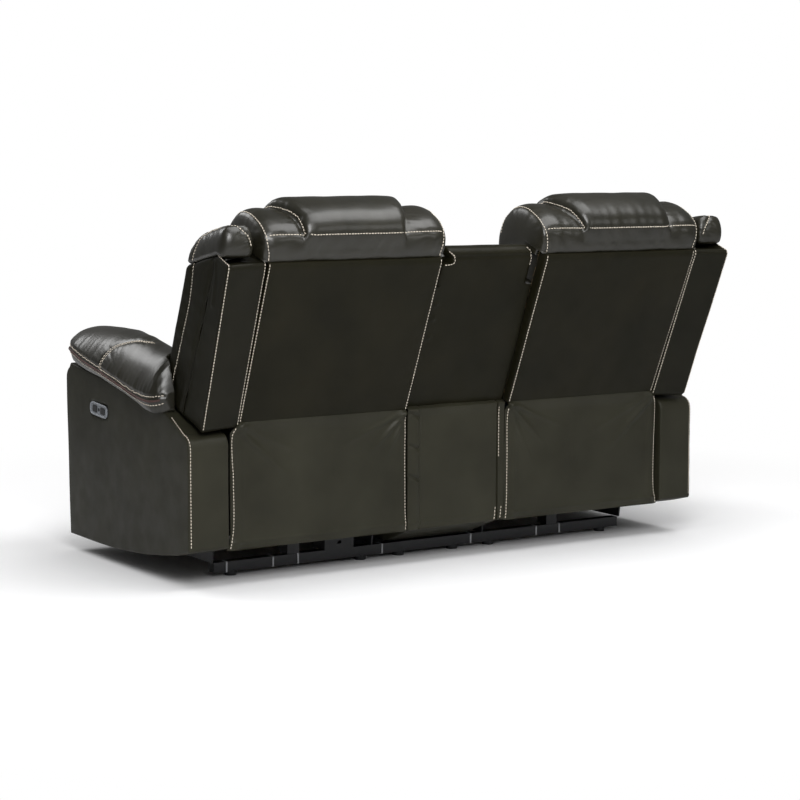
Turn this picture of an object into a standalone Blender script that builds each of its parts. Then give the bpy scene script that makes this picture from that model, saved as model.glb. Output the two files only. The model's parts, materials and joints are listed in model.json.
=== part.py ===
"""Power reclining loveseat with a centre console, modelled as an assembly.

Metres, +Z up. The front faces -Y, the sitter's left is +X, and the origin is on the floor
under the middle of the loveseat. Each seat has its own recliner back, pantograph footrest
and linear actuator. Pieces of a seat are modelled for the left side and mirrored in X.
"""

import math

import bmesh
import bpy
from mathutils import Matrix, Vector
from mathutils.geometry import tessellate_polygon

# Clearances and shared counts
seat_gap = 0.0003          # between pieces that touch
pin_clearance = 0.0006     # hole radius over pin radius in the linkage
cut_overrun = 0.004        # how far a cutter passes the face it cuts
round_steps = 12           # sides of a pin, and of a full circle in an outline
foot_steps = 16
tube_steps = 10

# Driving sizes of the whole loveseat
arm_outer_x = 0.900        # half the width across the arm boxes
arm_thickness = 0.125
arm_front_y = -0.4975
seat_top_z = 0.500
back_lean = math.radians(21.5)
recline_pivot_y = 0.262
recline_pivot_z = 0.437
console_half_width = 0.155
side_gap = 0.010           # between a seat's soft parts and the arm or the console
board_back_y = -0.405      # rear face of the footrest boards
box_low_z = 0.270          # underside of the seat boxes
arm_inner_x = arm_outer_x - arm_thickness

# Side plates of the recliner mechanism
plate_thickness = 0.005
plate_arm_gap = 0.030
plate_console_gap = 0.045
plate_outer_x = arm_inner_x - plate_arm_gap              # outer face of the outer plate
plate_inner_x = console_half_width + plate_console_gap   # face towards the console
plate_top_z = box_low_z - seat_gap

# Floor rails
rail_width = 0.030
rail_height = 0.030
rail_end_gap = 0.004       # to the outer plate's inner face
rail_half_length = plate_outer_x - plate_thickness - rail_end_gap
rear_rail_y = 0.1235
front_rail_setback = 0.025
front_rail_y = board_back_y + front_rail_setback
foot_radius = 0.0175
foot_height = 0.012
foot_end_setback = 0.062
foot_outer_x = rail_half_length - foot_end_setback
foot_inner_x = 0.234
foot_centre_x = 0.098
rail_top_z = foot_height + rail_height

# Uprights, pins and spacers of the side plates
upright_half_width = 0.018
plate_tab_low_z = 0.160
plate_tab_high_z = 0.250
pivot_pin_radius = 0.006
pivot_pin_length = 0.0135
spacer_radius = 0.012
spacer_front_y = -0.200
spacer_rear_y = 0.060
spacer_z = 0.150

# Footrest linkage, seen from the side
swing_pivot_y = -0.250
swing_pivot_z = 0.222
swing_length = 0.170
swing_rest_angle = math.radians(-132.0)   # from straight ahead, up is positive
guide_offset = 0.060                      # guide pivot from swing pivot
link_slope = math.radians(25.0)           # extension link and guide offset
link_half_width = 0.0105
link_thickness = 0.004
link_layer_gap = 0.0005
link_pin_radius = 0.005
torque_tube_radius = 0.009
guide_tube_radius = 0.007
tie_tube_radius = 0.007
tie_tube_share = 0.72                     # along the extension link
crank_length = 0.050
crank_rest_angle = math.radians(-150.0)
crank_half_width = 0.010
crank_plate_thickness = 0.004
crank_plate_gap = 0.0055                  # from the middle of the seat to a crank plate

# Seat box, spring deck and cushion
box_rail_thickness = 0.025
box_rail_height = 0.065
box_board_gap = 0.020
box_pivot_setback = 0.112
box_arm_gap = 0.020
box_console_gap = 0.035
box_front_y = board_back_y + box_board_gap
box_rear_y = recline_pivot_y - box_pivot_setback
box_high_z = box_low_z + box_rail_height
box_outer_x = arm_inner_x - box_arm_gap
box_inner_x = console_half_width + box_console_gap
deck_drop = 0.013
deck_low_z = box_high_z - deck_drop
deck_thickness = 0.004
deck_strip_width = 0.022
deck_strip_count = 5
deck_tie_count = 3
cushion_front_y = -0.4975
cushion_pivot_setback = 0.194
cushion_rear_y = recline_pivot_y - cushion_pivot_setback

# Footrest
board_thickness = 0.0175
board_low_z = 0.070
board_top_gap = 0.005
board_high_z = box_high_z - board_top_gap
board_side_inset = 0.015
footrest_pad_front_y = -0.5075
footrest_pad_low_z = 0.060
footrest_pivot_setback = 0.020            # pivot behind the board
bracket_low_z = 0.130
bracket_high_z = 0.300
bracket_bar_depth = 0.015
bracket_bar_low_z = 0.140
bracket_bar_high_z = 0.160

# Actuator
actuator_x = (plate_inner_x + plate_outer_x) / 2
actuator_rail_half_width = 0.010
actuator_rail_height = 0.020
actuator_rail_low_z = 0.135
actuator_rail_high_z = actuator_rail_low_z + actuator_rail_height
actuator_rail_front_y = -0.322
gearcase_rail_gap = 0.0185                # ahead of the rear floor rail
gearcase_length = 0.070
gearcase_rear_y = rear_rail_y - rail_width / 2 - gearcase_rail_gap
gearcase_front_y = gearcase_rear_y - gearcase_length
gearcase_half_width = 0.034
gearcase_drop = 0.030                     # below the actuator's rail
gearcase_height = 0.080
gearcase_low_z = actuator_rail_low_z - gearcase_drop
gearcase_high_z = gearcase_low_z + gearcase_height
motor_radius = 0.030
motor_length = 0.110
motor_rise = 0.013
motor_z = actuator_rail_low_z + motor_rise
actuator_foot_half_width = 0.020
actuator_foot_edge = 0.0015
actuator_foot_rear_y = rear_rail_y + rail_width / 2 - actuator_foot_edge
block_crank_setback = 0.043
block_rest_y = swing_pivot_y + block_crank_setback
block_half_length = 0.020
block_side_wall = 0.006
block_half_width = actuator_rail_half_width + block_side_wall
block_wall = 0.005
block_low_z = actuator_rail_low_z - block_wall
block_high_z = actuator_rail_high_z + block_wall
block_lug_half_width = crank_plate_gap - link_layer_gap
block_lug_height = 0.035
block_lug_high_z = block_high_z + block_lug_height
block_lug_half_length = 0.010

# Power supply with its inlet
supply_x = 0.320
supply_half_width = 0.050
supply_overhang = 0.0065                  # behind the rear floor rail
supply_length = 0.070
supply_rear_y = rear_rail_y + rail_width / 2 + supply_overhang
supply_front_y = supply_rear_y - supply_length
supply_height = 0.042
inlet_half_width = 0.0070
inlet_height = 0.0090
inlet_depth = 0.014

# Recliner back, in its own frame: across, out to the rear, up along the lean
wing_arm_overlap = 0.033       # the wing stands this far inside the arm's inner face
wing_gap = 0.004
wing_inner_x = arm_inner_x - wing_arm_overlap
back_console_gap = 0.028
outside_back_rear = 0.0227     # rear face of the outside back, behind the pivot line
outside_back_thickness = 0.012
outside_back_inner_x = console_half_width + back_console_gap
outside_back_outer_x = wing_inner_x - wing_gap
headrest_ledge = 0.5275        # underside of the headrest's rear roll
panel_edge_step = 0.0039       # from an edge of the frame board to the panel's edge
frame_thickness = 0.0184
frame_low = 0.034
frame_wide_low = 0.055
frame_shoulder = 0.006
outside_back_low = frame_low + panel_edge_step
outside_back_high = headrest_ledge - 2 * seat_gap
frame_high = outside_back_high - panel_edge_step
ear_plate_gap = 0.0045
frame_narrow_x = plate_outer_x - plate_thickness - ear_plate_gap
frame_inner_narrow_x = plate_inner_x + plate_thickness + ear_plate_gap
ear_thickness = 0.008
ear_radius = 0.016
cushion_console_gap = 0.023
back_cushion_inner_x = console_half_width + cushion_console_gap
back_cushion_outer_x = wing_inner_x - wing_gap
back_cushion_front = -0.205    # the lumbar crown, ahead of the pivot line
back_cushion_low = -0.030
back_cushion_high = 0.415

# Headrest roll, same frame
headrest_console_gap = 0.008
headrest_wing_overlap = 0.027
headrest_gap = 0.0015
headrest_overhang = 0.0013     # behind the outside back
headrest_inner_x = console_half_width + headrest_console_gap
headrest_outer_x = wing_inner_x + headrest_wing_overlap
headrest_low = back_cushion_high + headrest_gap
headrest_front = -0.205
headrest_rear = outside_back_rear + headrest_overhang
headrest_roll_height = 0.0945  # above the ledge, at the ends
headrest_end_top = headrest_ledge + headrest_roll_height
headrest_pad_rise = 0.032
headrest_end_bulge = 0.003

# Wing and shoulder pillow, same frame
wing_outer_setback = 0.032     # from the arm's outer face
wing_outer_x = arm_outer_x - wing_outer_setback
wing_front = -0.185
wing_rear_step = 0.009
wing_rear = outside_back_rear - wing_rear_step
wing_low = 0.024
wing_high = 0.517             # at the rear; the top is level when the back is up
pillow_headrest_gap = 0.007
pillow_side_overhang = 0.004
pillow_front_overhang = 0.015
pillow_rear_setback = 0.0037
pillow_height = 0.073
pillow_inner_x = headrest_outer_x + pillow_headrest_gap
pillow_outer_x = wing_outer_x + pillow_side_overhang
pillow_front = wing_front - pillow_front_overhang
pillow_rear = wing_rear - pillow_rear_setback
pillow_high = wing_high + pillow_height

# Rear flaps
flap_pivot_setback = 0.0325
flap_pivot_drop = 0.005
flap_gap = 0.008
flap_rear_y = recline_pivot_y + flap_pivot_setback
flap_thickness = 0.010
flap_low_z = 0.105
flap_high_z = recline_pivot_z - flap_pivot_drop
console_flap_half_width = console_half_width + flap_gap
flap_inner_x = console_flap_half_width + flap_gap
flap_hem = 0.020

# Arm box and pad
arm_base_z = 0.050
arm_top_front_z = 0.548
arm_front_slant = 0.014
arm_front_bottom_y = arm_front_y + arm_front_slant
arm_front_radius = 0.035
arm_rear_radius = 0.035
arm_rear_setback = 0.0405
arm_rear_y = recline_pivot_y + arm_rear_setback
arm_slope_setback = 0.093
arm_slope_rise = 0.053
arm_slope_y = recline_pivot_y - arm_slope_setback
arm_slope_z = recline_pivot_z + arm_slope_rise
pad_inner_overhang = 0.037
pad_outer_overhang = 0.040
pad_inner_x = arm_inner_x - pad_inner_overhang
pad_outer_x = arm_outer_x + pad_outer_overhang
pad_front_setback = 0.0295
pad_front_y = arm_front_y + pad_front_setback
pad_front_rise = 0.028
pad_front_low_z = arm_top_front_z + pad_front_rise
pad_height = 0.124

# Switch on the arm's outer side
switch_y = -0.260
switch_z = 0.453
switch_half_length = 0.0565
switch_half_height = 0.018
switch_end_flat = 0.0005
switch_end_radius = switch_half_height - switch_end_flat
switch_thickness = 0.0035
switch_slope = math.radians(-4.0)
button_offset = 0.026
button_half_length = 0.0150
button_half_height = 0.0100
button_corner = 0.004
button_thickness = 0.003
button_travel = 0.0015
button_clearance = 0.0004

# Console
console_front_y = -0.450
console_rear_y = flap_rear_y - flap_thickness - seat_gap
console_low_z = 0.050
console_bend_y = 0.140      # behind this the underside rises
console_rear_low_z = 0.108
console_top_z = 0.545
console_step_setback = 0.162
console_step_rise = 0.023
console_step_y = recline_pivot_y - console_step_setback
console_step_z = recline_pivot_z + console_step_rise
bin_side_wall = 0.030
bin_rear_wall = 0.045
bin_half_width = console_half_width - bin_side_wall
bin_front_y = -0.200
bin_rear_y = console_step_y - bin_rear_wall
bin_floor_z = 0.330
lid_side_gap = 0.005
lid_front_overhang = 0.035
lid_hinge_setback = 0.020
lid_half_width = console_half_width - lid_side_gap
lid_front_y = bin_front_y - lid_front_overhang
lid_hinge_y = console_step_y - lid_hinge_setback
lid_setback = 0.0006
lid_height = 0.075
cup_x = 0.068
cup_y = -0.335
cup_hole_radius = 0.0430
cup_wall = 0.0015
cup_clearance = 0.0004
cup_depth = 0.070
cup_flange_width = 0.006
cup_flange_radius = cup_hole_radius + cup_flange_width
cup_flange_thickness = 0.0015
cup_steps = 24

# Console back, between the recliner backs
console_back_half_width = console_half_width - lid_side_gap
console_back_setback = 0.022     # ahead of the outside backs
console_back_thickness = 0.090
console_back_top_z = 0.945
console_back_radius = 0.020

# Leather, wood and metal
finishes = {
    "side_leather": ((0.034, 0.031, 0.024), 0.42, 0.0),
    "rear_leather": ((0.020, 0.019, 0.014), 0.45, 0.0),
    "soft_leather": ((0.040, 0.038, 0.032), 0.38, 0.0),
    "board": ((0.42, 0.30, 0.18), 0.80, 0.0),
    "black_steel": ((0.012, 0.012, 0.014), 0.45, 0.0),
    "zinc_steel": ((0.55, 0.55, 0.56), 0.35, 1.0),
    "black_plastic": ((0.015, 0.015, 0.016), 0.40, 0.0),
    "grey_plastic": ((0.30, 0.31, 0.33), 0.35, 0.0),
}

sides = ("left", "right")


def mirror(side):
    """Plus one for the left side, and minus one for the right, its mirror image."""
    return 1.0 if side == "left" else -1.0


def clear_scene():
    """Remove whatever the open scene holds."""
    for old in list(bpy.data.objects):
        bpy.data.objects.remove(old, do_unlink=True)


def finish(name, kind):
    """Make one piece's own material from a named finish."""
    colour, roughness, metallic = finishes[kind]
    made = bpy.data.materials.new(name)
    made.use_nodes = True
    shader = made.node_tree.nodes["Principled BSDF"]
    shader.inputs["Base Color"].default_value = (*colour, 1.0)
    shader.inputs["Roughness"].default_value = roughness
    shader.inputs["Metallic"].default_value = metallic
    made.diffuse_color = (*colour, 1.0)
    return made


def piece(name, bm, kind, parent=None, smooth_angle=math.radians(40.0)):
    """Turn a bmesh into an object, shaded smooth, hung on its parent where it has one."""
    bmesh.ops.recalc_face_normals(bm, faces=bm.faces)
    if parent is not None and not parent.get("own_frame"):
        bmesh.ops.translate(bm, verts=bm.verts, vec=-parent.matrix_world.translation)
    mesh = bpy.data.meshes.new(name)
    bm.to_mesh(mesh)
    bm.free()
    mesh.shade_smooth()
    mesh.set_sharp_from_angle(angle=smooth_angle)
    made = bpy.data.objects.new(name, mesh)
    bpy.context.collection.objects.link(made)
    made.parent = parent
    if kind is not None:
        made.data.materials.append(finish(name, kind))
    return made


def axis_empty(name, place, parent=None, lean=0.0):
    """An empty on a joint's axis. With a lean it gives its children their own frame."""
    made = bpy.data.objects.new(name, None)
    bpy.context.collection.objects.link(made)
    made.location = place
    made.rotation_euler = (-lean, 0.0, 0.0)
    made.parent = parent
    if parent is not None:
        made.location = Vector(place) - parent.matrix_world.translation
    made["own_frame"] = lean != 0.0
    bpy.context.view_layer.update()
    return made


def boolean(target, operand, operation):
    """Add an exact Boolean and keep its operand as a hidden guide."""
    modifier = target.modifiers.new(operand.name, "BOOLEAN")
    modifier.operation = operation
    modifier.solver = "EXACT"
    modifier.object = operand
    operand.hide_render = True
    operand.display_type = "WIRE"


def arc(centre, radius, start, end, steps):
    """Points on an arc, both ends included."""
    return [
        (
            centre[0] + radius * math.cos(start + (end - start) * i / steps),
            centre[1] + radius * math.sin(start + (end - start) * i / steps),
        )
        for i in range(steps + 1)
    ]


def circle(centre, radius, steps):
    """A closed circle of points."""
    return arc(centre, radius, 0.0, 2.0 * math.pi, steps)[:-1]


def bar_outline(start, end, half_width, steps):
    """The outline of a flat bar with round ends."""
    angle = math.atan2(end[1] - start[1], end[0] - start[0])
    far = arc(end, half_width, angle - math.pi / 2, angle + math.pi / 2, steps)
    near = arc(start, half_width, angle + math.pi / 2, angle + 3 * math.pi / 2, steps)
    return far + near


def box_outline(low_a, low_b, high_a, high_b):
    """A rectangle."""
    return [(low_a, low_b), (high_a, low_b), (high_a, high_b), (low_a, high_b)]


def round_box_outline(centre, half_a, half_b, radius, steps):
    """A rectangle with round corners."""
    points = []
    corners = ((1, -1, -0.5), (1, 1, 0.0), (-1, 1, 0.5), (-1, -1, 1.0))
    for sign_a, sign_b, turn in corners:
        corner = (centre[0] + sign_a * (half_a - radius), centre[1] + sign_b * (half_b - radius))
        points += arc(corner, radius, turn * math.pi, (turn + 0.5) * math.pi, steps)
    return points


def prism(bm, plane, outline, low, high, holes=()):
    """Extrude an outline, with any holes, from low to high across its plane."""
    across = {"YZ": 0, "XZ": 1, "XY": 2}[plane]

    def spot(point, level):
        values = [point[0], point[1]]
        values.insert(across, level)
        return Vector(values)

    loops = [list(outline)] + [list(hole) for hole in holes]
    flat = [[Vector((a, b, 0.0)) for a, b in loop] for loop in loops]
    triangles = tessellate_polygon(flat)
    points = [point for loop in loops for point in loop]
    lower = [bm.verts.new(spot(point, low)) for point in points]
    upper = [bm.verts.new(spot(point, high)) for point in points]
    for a, b, c in triangles:
        bm.faces.new((lower[a], lower[c], lower[b]))
        bm.faces.new((upper[a], upper[b], upper[c]))
    first = 0
    for loop in loops:
        count = len(loop)
        for i in range(count):
            j = (i + 1) % count
            ring = (lower[first + i], lower[first + j], upper[first + j], upper[first + i])
            bm.faces.new(ring)
        first += count


def loft(bm, rings, end_bulge=0.0):
    """Skin a row of equal rings and close both ends, bulged by end_bulge."""
    made = [[bm.verts.new(point) for point in ring] for ring in rings]
    for near, far in zip(made, made[1:]):
        for i in range(len(near)):
            j = (i + 1) % len(near)
            bm.faces.new((near[i], near[j], far[j], far[i]))
    for ring, inner in ((made[0], made[1]), (made[-1], made[-2])):
        middle = sum((v.co for v in ring), Vector()) / len(ring)
        inward = sum((v.co for v in inner), Vector()) / len(inner)
        out = (middle - inward).normalized()
        hub = bm.verts.new(middle + out * end_bulge)
        for i in range(len(ring)):
            j = (i + 1) % len(ring)
            bm.faces.new((ring[i], ring[j], hub))


def span(low, high, share):
    """A place between two others."""
    return low + (high - low) * share


def side_range(sign, low, high):
    """A range across the loveseat, mirrored for the right side."""
    return tuple(sorted((sign * low, sign * high)))


def side_points(start, angle, length):
    """A point ahead of another, seen from the side, ahead being -Y."""
    return (start[0] - length * math.cos(angle), start[1] + length * math.sin(angle))


# Linkage pivots at rest, as (y, z)
swing_pivot = (swing_pivot_y, swing_pivot_z)
guide_pivot = side_points(swing_pivot, link_slope, guide_offset)
elbow = side_points(swing_pivot, swing_rest_angle, swing_length)
guide_elbow = side_points(guide_pivot, swing_rest_angle, swing_length)
footrest_pivot_y = board_back_y + footrest_pivot_setback
extension_length = (elbow[0] - footrest_pivot_y) / math.cos(link_slope)
footrest_pivot = side_points(elbow, link_slope, extension_length)
recline_pivot = (recline_pivot_y, recline_pivot_z)
plate_faces = {
    "outer": (plate_outer_x - plate_thickness, -1.0),
    "inner": (plate_inner_x + plate_thickness, 1.0),
}


def layer(which, level):
    """The X range of a linkage layer, counted inwards from a side plate."""
    face, inwards = plate_faces[which]
    start = link_layer_gap + level * (link_thickness + link_layer_gap)
    return face + inwards * start, face + inwards * (start + link_thickness)


def floor_rail(name, rail_y):
    """A square cross rail with its six round feet welded under it."""
    bm = bmesh.new()
    half = rail_width / 2
    outline = box_outline(rail_y - half, foot_height, rail_y + half, rail_top_z)
    prism(bm, "YZ", outline, -rail_half_length, rail_half_length)
    rail = piece(name, bm, "black_steel")
    bm = bmesh.new()
    for sign in map(mirror, sides):
        for foot_x in (foot_outer_x, foot_inner_x, foot_centre_x):
            spot = circle((sign * foot_x, rail_y), foot_radius, foot_steps)
            prism(bm, "XY", spot, 0.0, foot_height + cut_overrun)
    boolean(rail, piece(f"{name}_feet_guide", bm, None), "UNION")


def side_plate(side, which):
    """A steel plate from rail to rail, with an upright that carries the back's pivot."""
    sign = mirror(side)
    front = front_rail_y - rail_width / 2
    rear = rear_rail_y + rail_width / 2
    low = rail_top_z + seat_gap
    tab_y = flap_rear_y - flap_thickness - seat_gap
    sweep = (tab_y, low)
    sweep_height = plate_tab_low_z - low
    sweep_width = tab_y - rear
    curve = [
        (sweep[0] - sweep_width * math.cos(t), sweep[1] + sweep_height * math.sin(t))
        for t in (math.pi / 2 * i / 6 for i in range(7))
    ]
    boss = arc(recline_pivot, upright_half_width, 0.0, math.pi, round_steps // 2)
    outline = [(front, low)] + curve
    outline += [(tab_y, plate_tab_high_z)]
    outline += boss
    outline += [(box_rear_y + box_rail_thickness, plate_top_z), (front, plate_top_z)]
    outer_face = plate_outer_x if which == "outer" else plate_inner_x
    inner_face, inwards = plate_faces[which]
    bm = bmesh.new()
    prism(bm, "YZ", outline, *side_range(sign, outer_face, inner_face))
    plate = piece(f"{side}_{which}_side_plate", bm, "black_steel")

    # Pins for the back and the links, and spacers to the arm or the console
    bm = bmesh.new()
    root = inner_face - inwards * plate_thickness / 2
    pins = (
        (recline_pivot, pivot_pin_radius, inner_face + inwards * pivot_pin_length),
        (swing_pivot, link_pin_radius, layer(which, 0)[1]),
        (guide_pivot, link_pin_radius, layer(which, 2)[1]),
    )
    for centre, radius, end in pins:
        pin = circle(centre, radius, round_steps)
        prism(bm, "YZ", pin, *side_range(sign, root, end))
    carried = arm_inner_x if which == "outer" else console_half_width
    carried += inwards * seat_gap
    for spacer_y in (spacer_front_y, spacer_rear_y):
        spacer = circle((spacer_y, spacer_z), spacer_radius, round_steps)
        prism(bm, "YZ", spacer, *side_range(sign, root, carried))
    boolean(plate, piece(f"{side}_{which}_pin_guide", bm, None), "UNION")


def link_pair(bm, sign, level, start, end, holes):
    """One link near each side plate, with pin holes."""
    outline = bar_outline(start, end, link_half_width, round_steps // 2)
    hole_radius = link_pin_radius + pin_clearance
    cuts = [circle(hole, hole_radius, round_steps) for hole in holes]
    for which in plate_faces:
        prism(bm, "YZ", outline, *side_range(sign, *layer(which, level)), cuts)


def tube_between(bm, sign, level, centre, radius):
    """A cross tube that joins the links of one layer."""
    ends = [span(*layer(which, level), 0.5) for which in plate_faces]
    prism(bm, "YZ", circle(centre, radius, tube_steps), *side_range(sign, *ends))


def link_pins(bm, sign, level, direction, centre, depth):
    """Round pins from a layer's links into the next layer."""
    pin = circle(centre, link_pin_radius, round_steps)
    for which in plate_faces:
        near, far = layer(which, level)
        inwards = plate_faces[which][1]
        root = span(near, far, 0.5)
        end = (far if direction > 0 else near) + direction * inwards * depth
        prism(bm, "YZ", pin, *side_range(sign, root, end))


def swing_links(side, parent):
    """The driven links: two bars, the torque tube between them and its crank."""
    sign = mirror(side)
    bm = bmesh.new()
    link_pair(bm, sign, 0, swing_pivot, elbow, [swing_pivot])
    links = piece(f"{side}_swing_links", bm, "black_steel", parent)
    # The tube starts inside the bars, past the pins that end flush with them
    bm = bmesh.new()
    ends = [layer(which, 0)[1] for which in plate_faces]
    inner = [end + plate_faces[which][1] * seat_gap for which, end in zip(plate_faces, ends)]
    tube = circle(swing_pivot, torque_tube_radius, tube_steps)
    prism(bm, "YZ", tube, *side_range(sign, *inner))
    tube_guide = piece(f"{side}_torque_tube_guide", bm, None, parent)
    boolean(links, tube_guide, "UNION")
    # Cups join the tube to the bars around the pins' ends
    bm = bmesh.new()
    ring = circle(swing_pivot, torque_tube_radius, tube_steps)
    hole = circle(swing_pivot, link_pin_radius + pin_clearance, round_steps)
    for which in plate_faces:
        near, far = layer(which, 0)
        inwards = plate_faces[which][1]
        root = span(near, far, 0.5)
        end = far + inwards * (seat_gap + link_thickness)
        prism(bm, "YZ", ring, *side_range(sign, root, end), [hole])
    boolean(links, piece(f"{side}_torque_cup_guide", bm, None, parent), "UNION")
    bm = bmesh.new()
    crank_end = side_points(swing_pivot, crank_rest_angle, crank_length)
    outline = bar_outline(swing_pivot, crank_end, crank_half_width, round_steps // 2)
    for direction in (1.0, -1.0):
        near = actuator_x + direction * crank_plate_gap
        far = near + direction * crank_plate_thickness
        prism(bm, "YZ", outline, *side_range(sign, near, far))
    boolean(links, piece(f"{side}_crank_guide", bm, None, parent), "UNION")
    bm = bmesh.new()
    link_pins(bm, sign, 0, 1.0, elbow, link_layer_gap + link_thickness)
    boolean(links, piece(f"{side}_elbow_pin_guide", bm, None, parent), "UNION")


def guide_links(side, parent):
    """The parallel links that keep the extension links' slope."""
    sign = mirror(side)
    bm = bmesh.new()
    link_pair(bm, sign, 2, guide_pivot, guide_elbow, [guide_pivot])
    links = piece(f"{side}_guide_links", bm, "black_steel", parent)
    bm = bmesh.new()
    middle = [
        span(guide_pivot[0], guide_elbow[0], tie_tube_share / 2),
        span(guide_pivot[1], guide_elbow[1], tie_tube_share / 2),
    ]
    tube_between(bm, sign, 2, middle, guide_tube_radius)
    boolean(links, piece(f"{side}_guide_tube_guide", bm, None, parent), "UNION")
    bm = bmesh.new()
    link_pins(bm, sign, 2, -1.0, guide_elbow, link_layer_gap + link_thickness)
    boolean(links, piece(f"{side}_guide_pin_guide", bm, None, parent), "UNION")


def extension_links(side, parent):
    """The long links from the elbows to the footrest, tied by a tube."""
    sign = mirror(side)
    bm = bmesh.new()
    link_pair(bm, sign, 1, elbow, footrest_pivot, [elbow, guide_elbow])
    links = piece(f"{side}_extension_links", bm, "black_steel", parent)
    bm = bmesh.new()
    tie = side_points(elbow, link_slope, extension_length * tie_tube_share)
    tube_between(bm, sign, 1, tie, tie_tube_radius)
    boolean(links, piece(f"{side}_tie_tube_guide", bm, None, parent), "UNION")
    bm = bmesh.new()
    link_pins(bm, sign, 1, 1.0, footrest_pivot, link_layer_gap + link_thickness)
    boolean(links, piece(f"{side}_footrest_pin_guide", bm, None, parent), "UNION")


def footrest(side, parent):
    """The bracket frame, board and pad that swing out on the links."""
    sign = mirror(side)
    bm = bmesh.new()
    front = board_back_y + seat_gap
    hole = circle(footrest_pivot, link_pin_radius + pin_clearance, round_steps)
    eye = arc(footrest_pivot, link_half_width, math.pi / 2, -math.pi / 2, round_steps // 2)
    flange = front + bracket_bar_depth / 2
    outline = [(front, bracket_low_z), (front, bracket_high_z), (flange, bracket_high_z)]
    outline += eye
    outline += [(flange, bracket_low_z)]
    for which in plate_faces:
        prism(bm, "YZ", outline, *side_range(sign, *layer(which, 2)), [hole])
    frame = piece(f"{side}_footrest_frame", bm, "black_steel", parent)
    bm = bmesh.new()
    ends = [span(*layer(which, 2), 0.5) for which in plate_faces]
    bar = box_outline(front, bracket_bar_low_z, front + bracket_bar_depth, bracket_bar_high_z)
    prism(bm, "YZ", bar, *side_range(sign, *ends))
    boolean(frame, piece(f"{side}_bracket_bar_guide", bm, None, parent), "UNION")

    low_x = console_half_width + side_gap + board_side_inset
    high_x = arm_inner_x - side_gap - board_side_inset
    board_front = board_back_y - board_thickness
    bm = bmesh.new()
    outline = box_outline(board_front, board_low_z, board_back_y, board_high_z)
    prism(bm, "YZ", outline, *side_range(sign, low_x, high_x))
    piece(f"{side}_footrest_board", bm, "board", parent)

    # Pad: flat on the board, crowned ahead, its ends drawn in
    pad_back = board_front - seat_gap
    bm = bmesh.new()
    rings = []
    for x_share, size_share in footrest_end_shares:
        x = sign * span(low_x - board_side_inset, high_x + board_side_inset, x_share)
        rings.append([
            Vector((
                x,
                span(pad_back, footrest_pad_front_y, depth_share * size_share),
                span(footrest_pad_low_z, board_high_z,
                     middle_share + (height_share - middle_share) * size_share),
            ))
            for depth_share, height_share in footrest_section_shares
        ])
    loft(bm, rings)
    piece(f"{side}_footrest_pad", bm, "soft_leather", parent)


middle_share = 0.5
footrest_section_shares = [
    (0.0, 0.03), (0.45, 0.0), (0.80, 0.06), (0.96, 0.20), (1.0, 0.50),
    (0.96, 0.80), (0.80, 0.94), (0.45, 1.0), (0.0, 0.97),
]
footrest_end_shares = [
    (0.0, 0.70), (0.012, 0.86), (0.05, 0.95), (0.14, 0.99), (0.5, 1.0),
    (0.86, 0.99), (0.95, 0.95), (0.988, 0.86), (1.0, 0.70),
]


def seat_frame(side):
    """The wooden seat box and the strip deck sprung across it."""
    sign = mirror(side)
    inner = box_outline(
        box_inner_x + box_rail_thickness, box_front_y + box_rail_thickness,
        box_outer_x - box_rail_thickness, box_rear_y - box_rail_thickness,
    )
    outer = box_outline(box_inner_x, box_front_y, box_outer_x, box_rear_y)
    bm = bmesh.new()
    mirrored = [[(sign * x, y) for x, y in loop] for loop in (outer, inner)]
    prism(bm, "XY", mirrored[0], box_low_z, box_high_z, [mirrored[1]])
    piece(f"{side}_seat_box", bm, "board")

    low_x = inner[0][0] + seat_gap
    high_x = inner[1][0] - seat_gap
    low_y = inner[0][1] + seat_gap
    high_y = inner[2][1] - seat_gap
    strip_pitch = (high_x - low_x - deck_strip_width) / (deck_strip_count - 1)
    tie_pitch = (high_y - low_y - deck_strip_width) / (deck_tie_count - 1)
    holes = []
    for i in range(deck_strip_count - 1):
        for j in range(deck_tie_count - 1):
            left = low_x + i * strip_pitch + deck_strip_width
            near = low_y + j * tie_pitch + deck_strip_width
            width = strip_pitch - deck_strip_width
            depth = tie_pitch - deck_strip_width
            holes.append(box_outline(left, near, left + width, near + depth))
    bm = bmesh.new()
    outline = box_outline(low_x, low_y, high_x, high_y)
    mirrored = [[(sign * x, y) for x, y in loop] for loop in [outline] + holes]
    prism(bm, "XY", mirrored[0], deck_low_z, deck_low_z + deck_thickness, mirrored[1:])
    piece(f"{side}_seat_springs", bm, "zinc_steel")


seat_section_shares = [
    (0.20, 0.0), (0.03, 0.03), (0.0, 0.25), (0.0, 0.50), (0.02, 0.74), (0.08, 0.92),
    (0.18, 1.0), (0.34, 1.0), (0.52, 0.96), (0.72, 0.92), (0.90, 0.89), (0.985, 0.82),
    (1.0, 0.60), (1.0, 0.12), (0.97, 0.0),
]
seat_end_shares = [
    (0.0, 0.90), (0.008, 0.955), (0.03, 0.985), (0.10, 0.995), (0.30, 1.0), (0.5, 1.0),
    (0.70, 1.0), (0.90, 0.995), (0.97, 0.985), (0.992, 0.955), (1.0, 0.90),
]
seat_crown_share = 0.05


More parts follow.
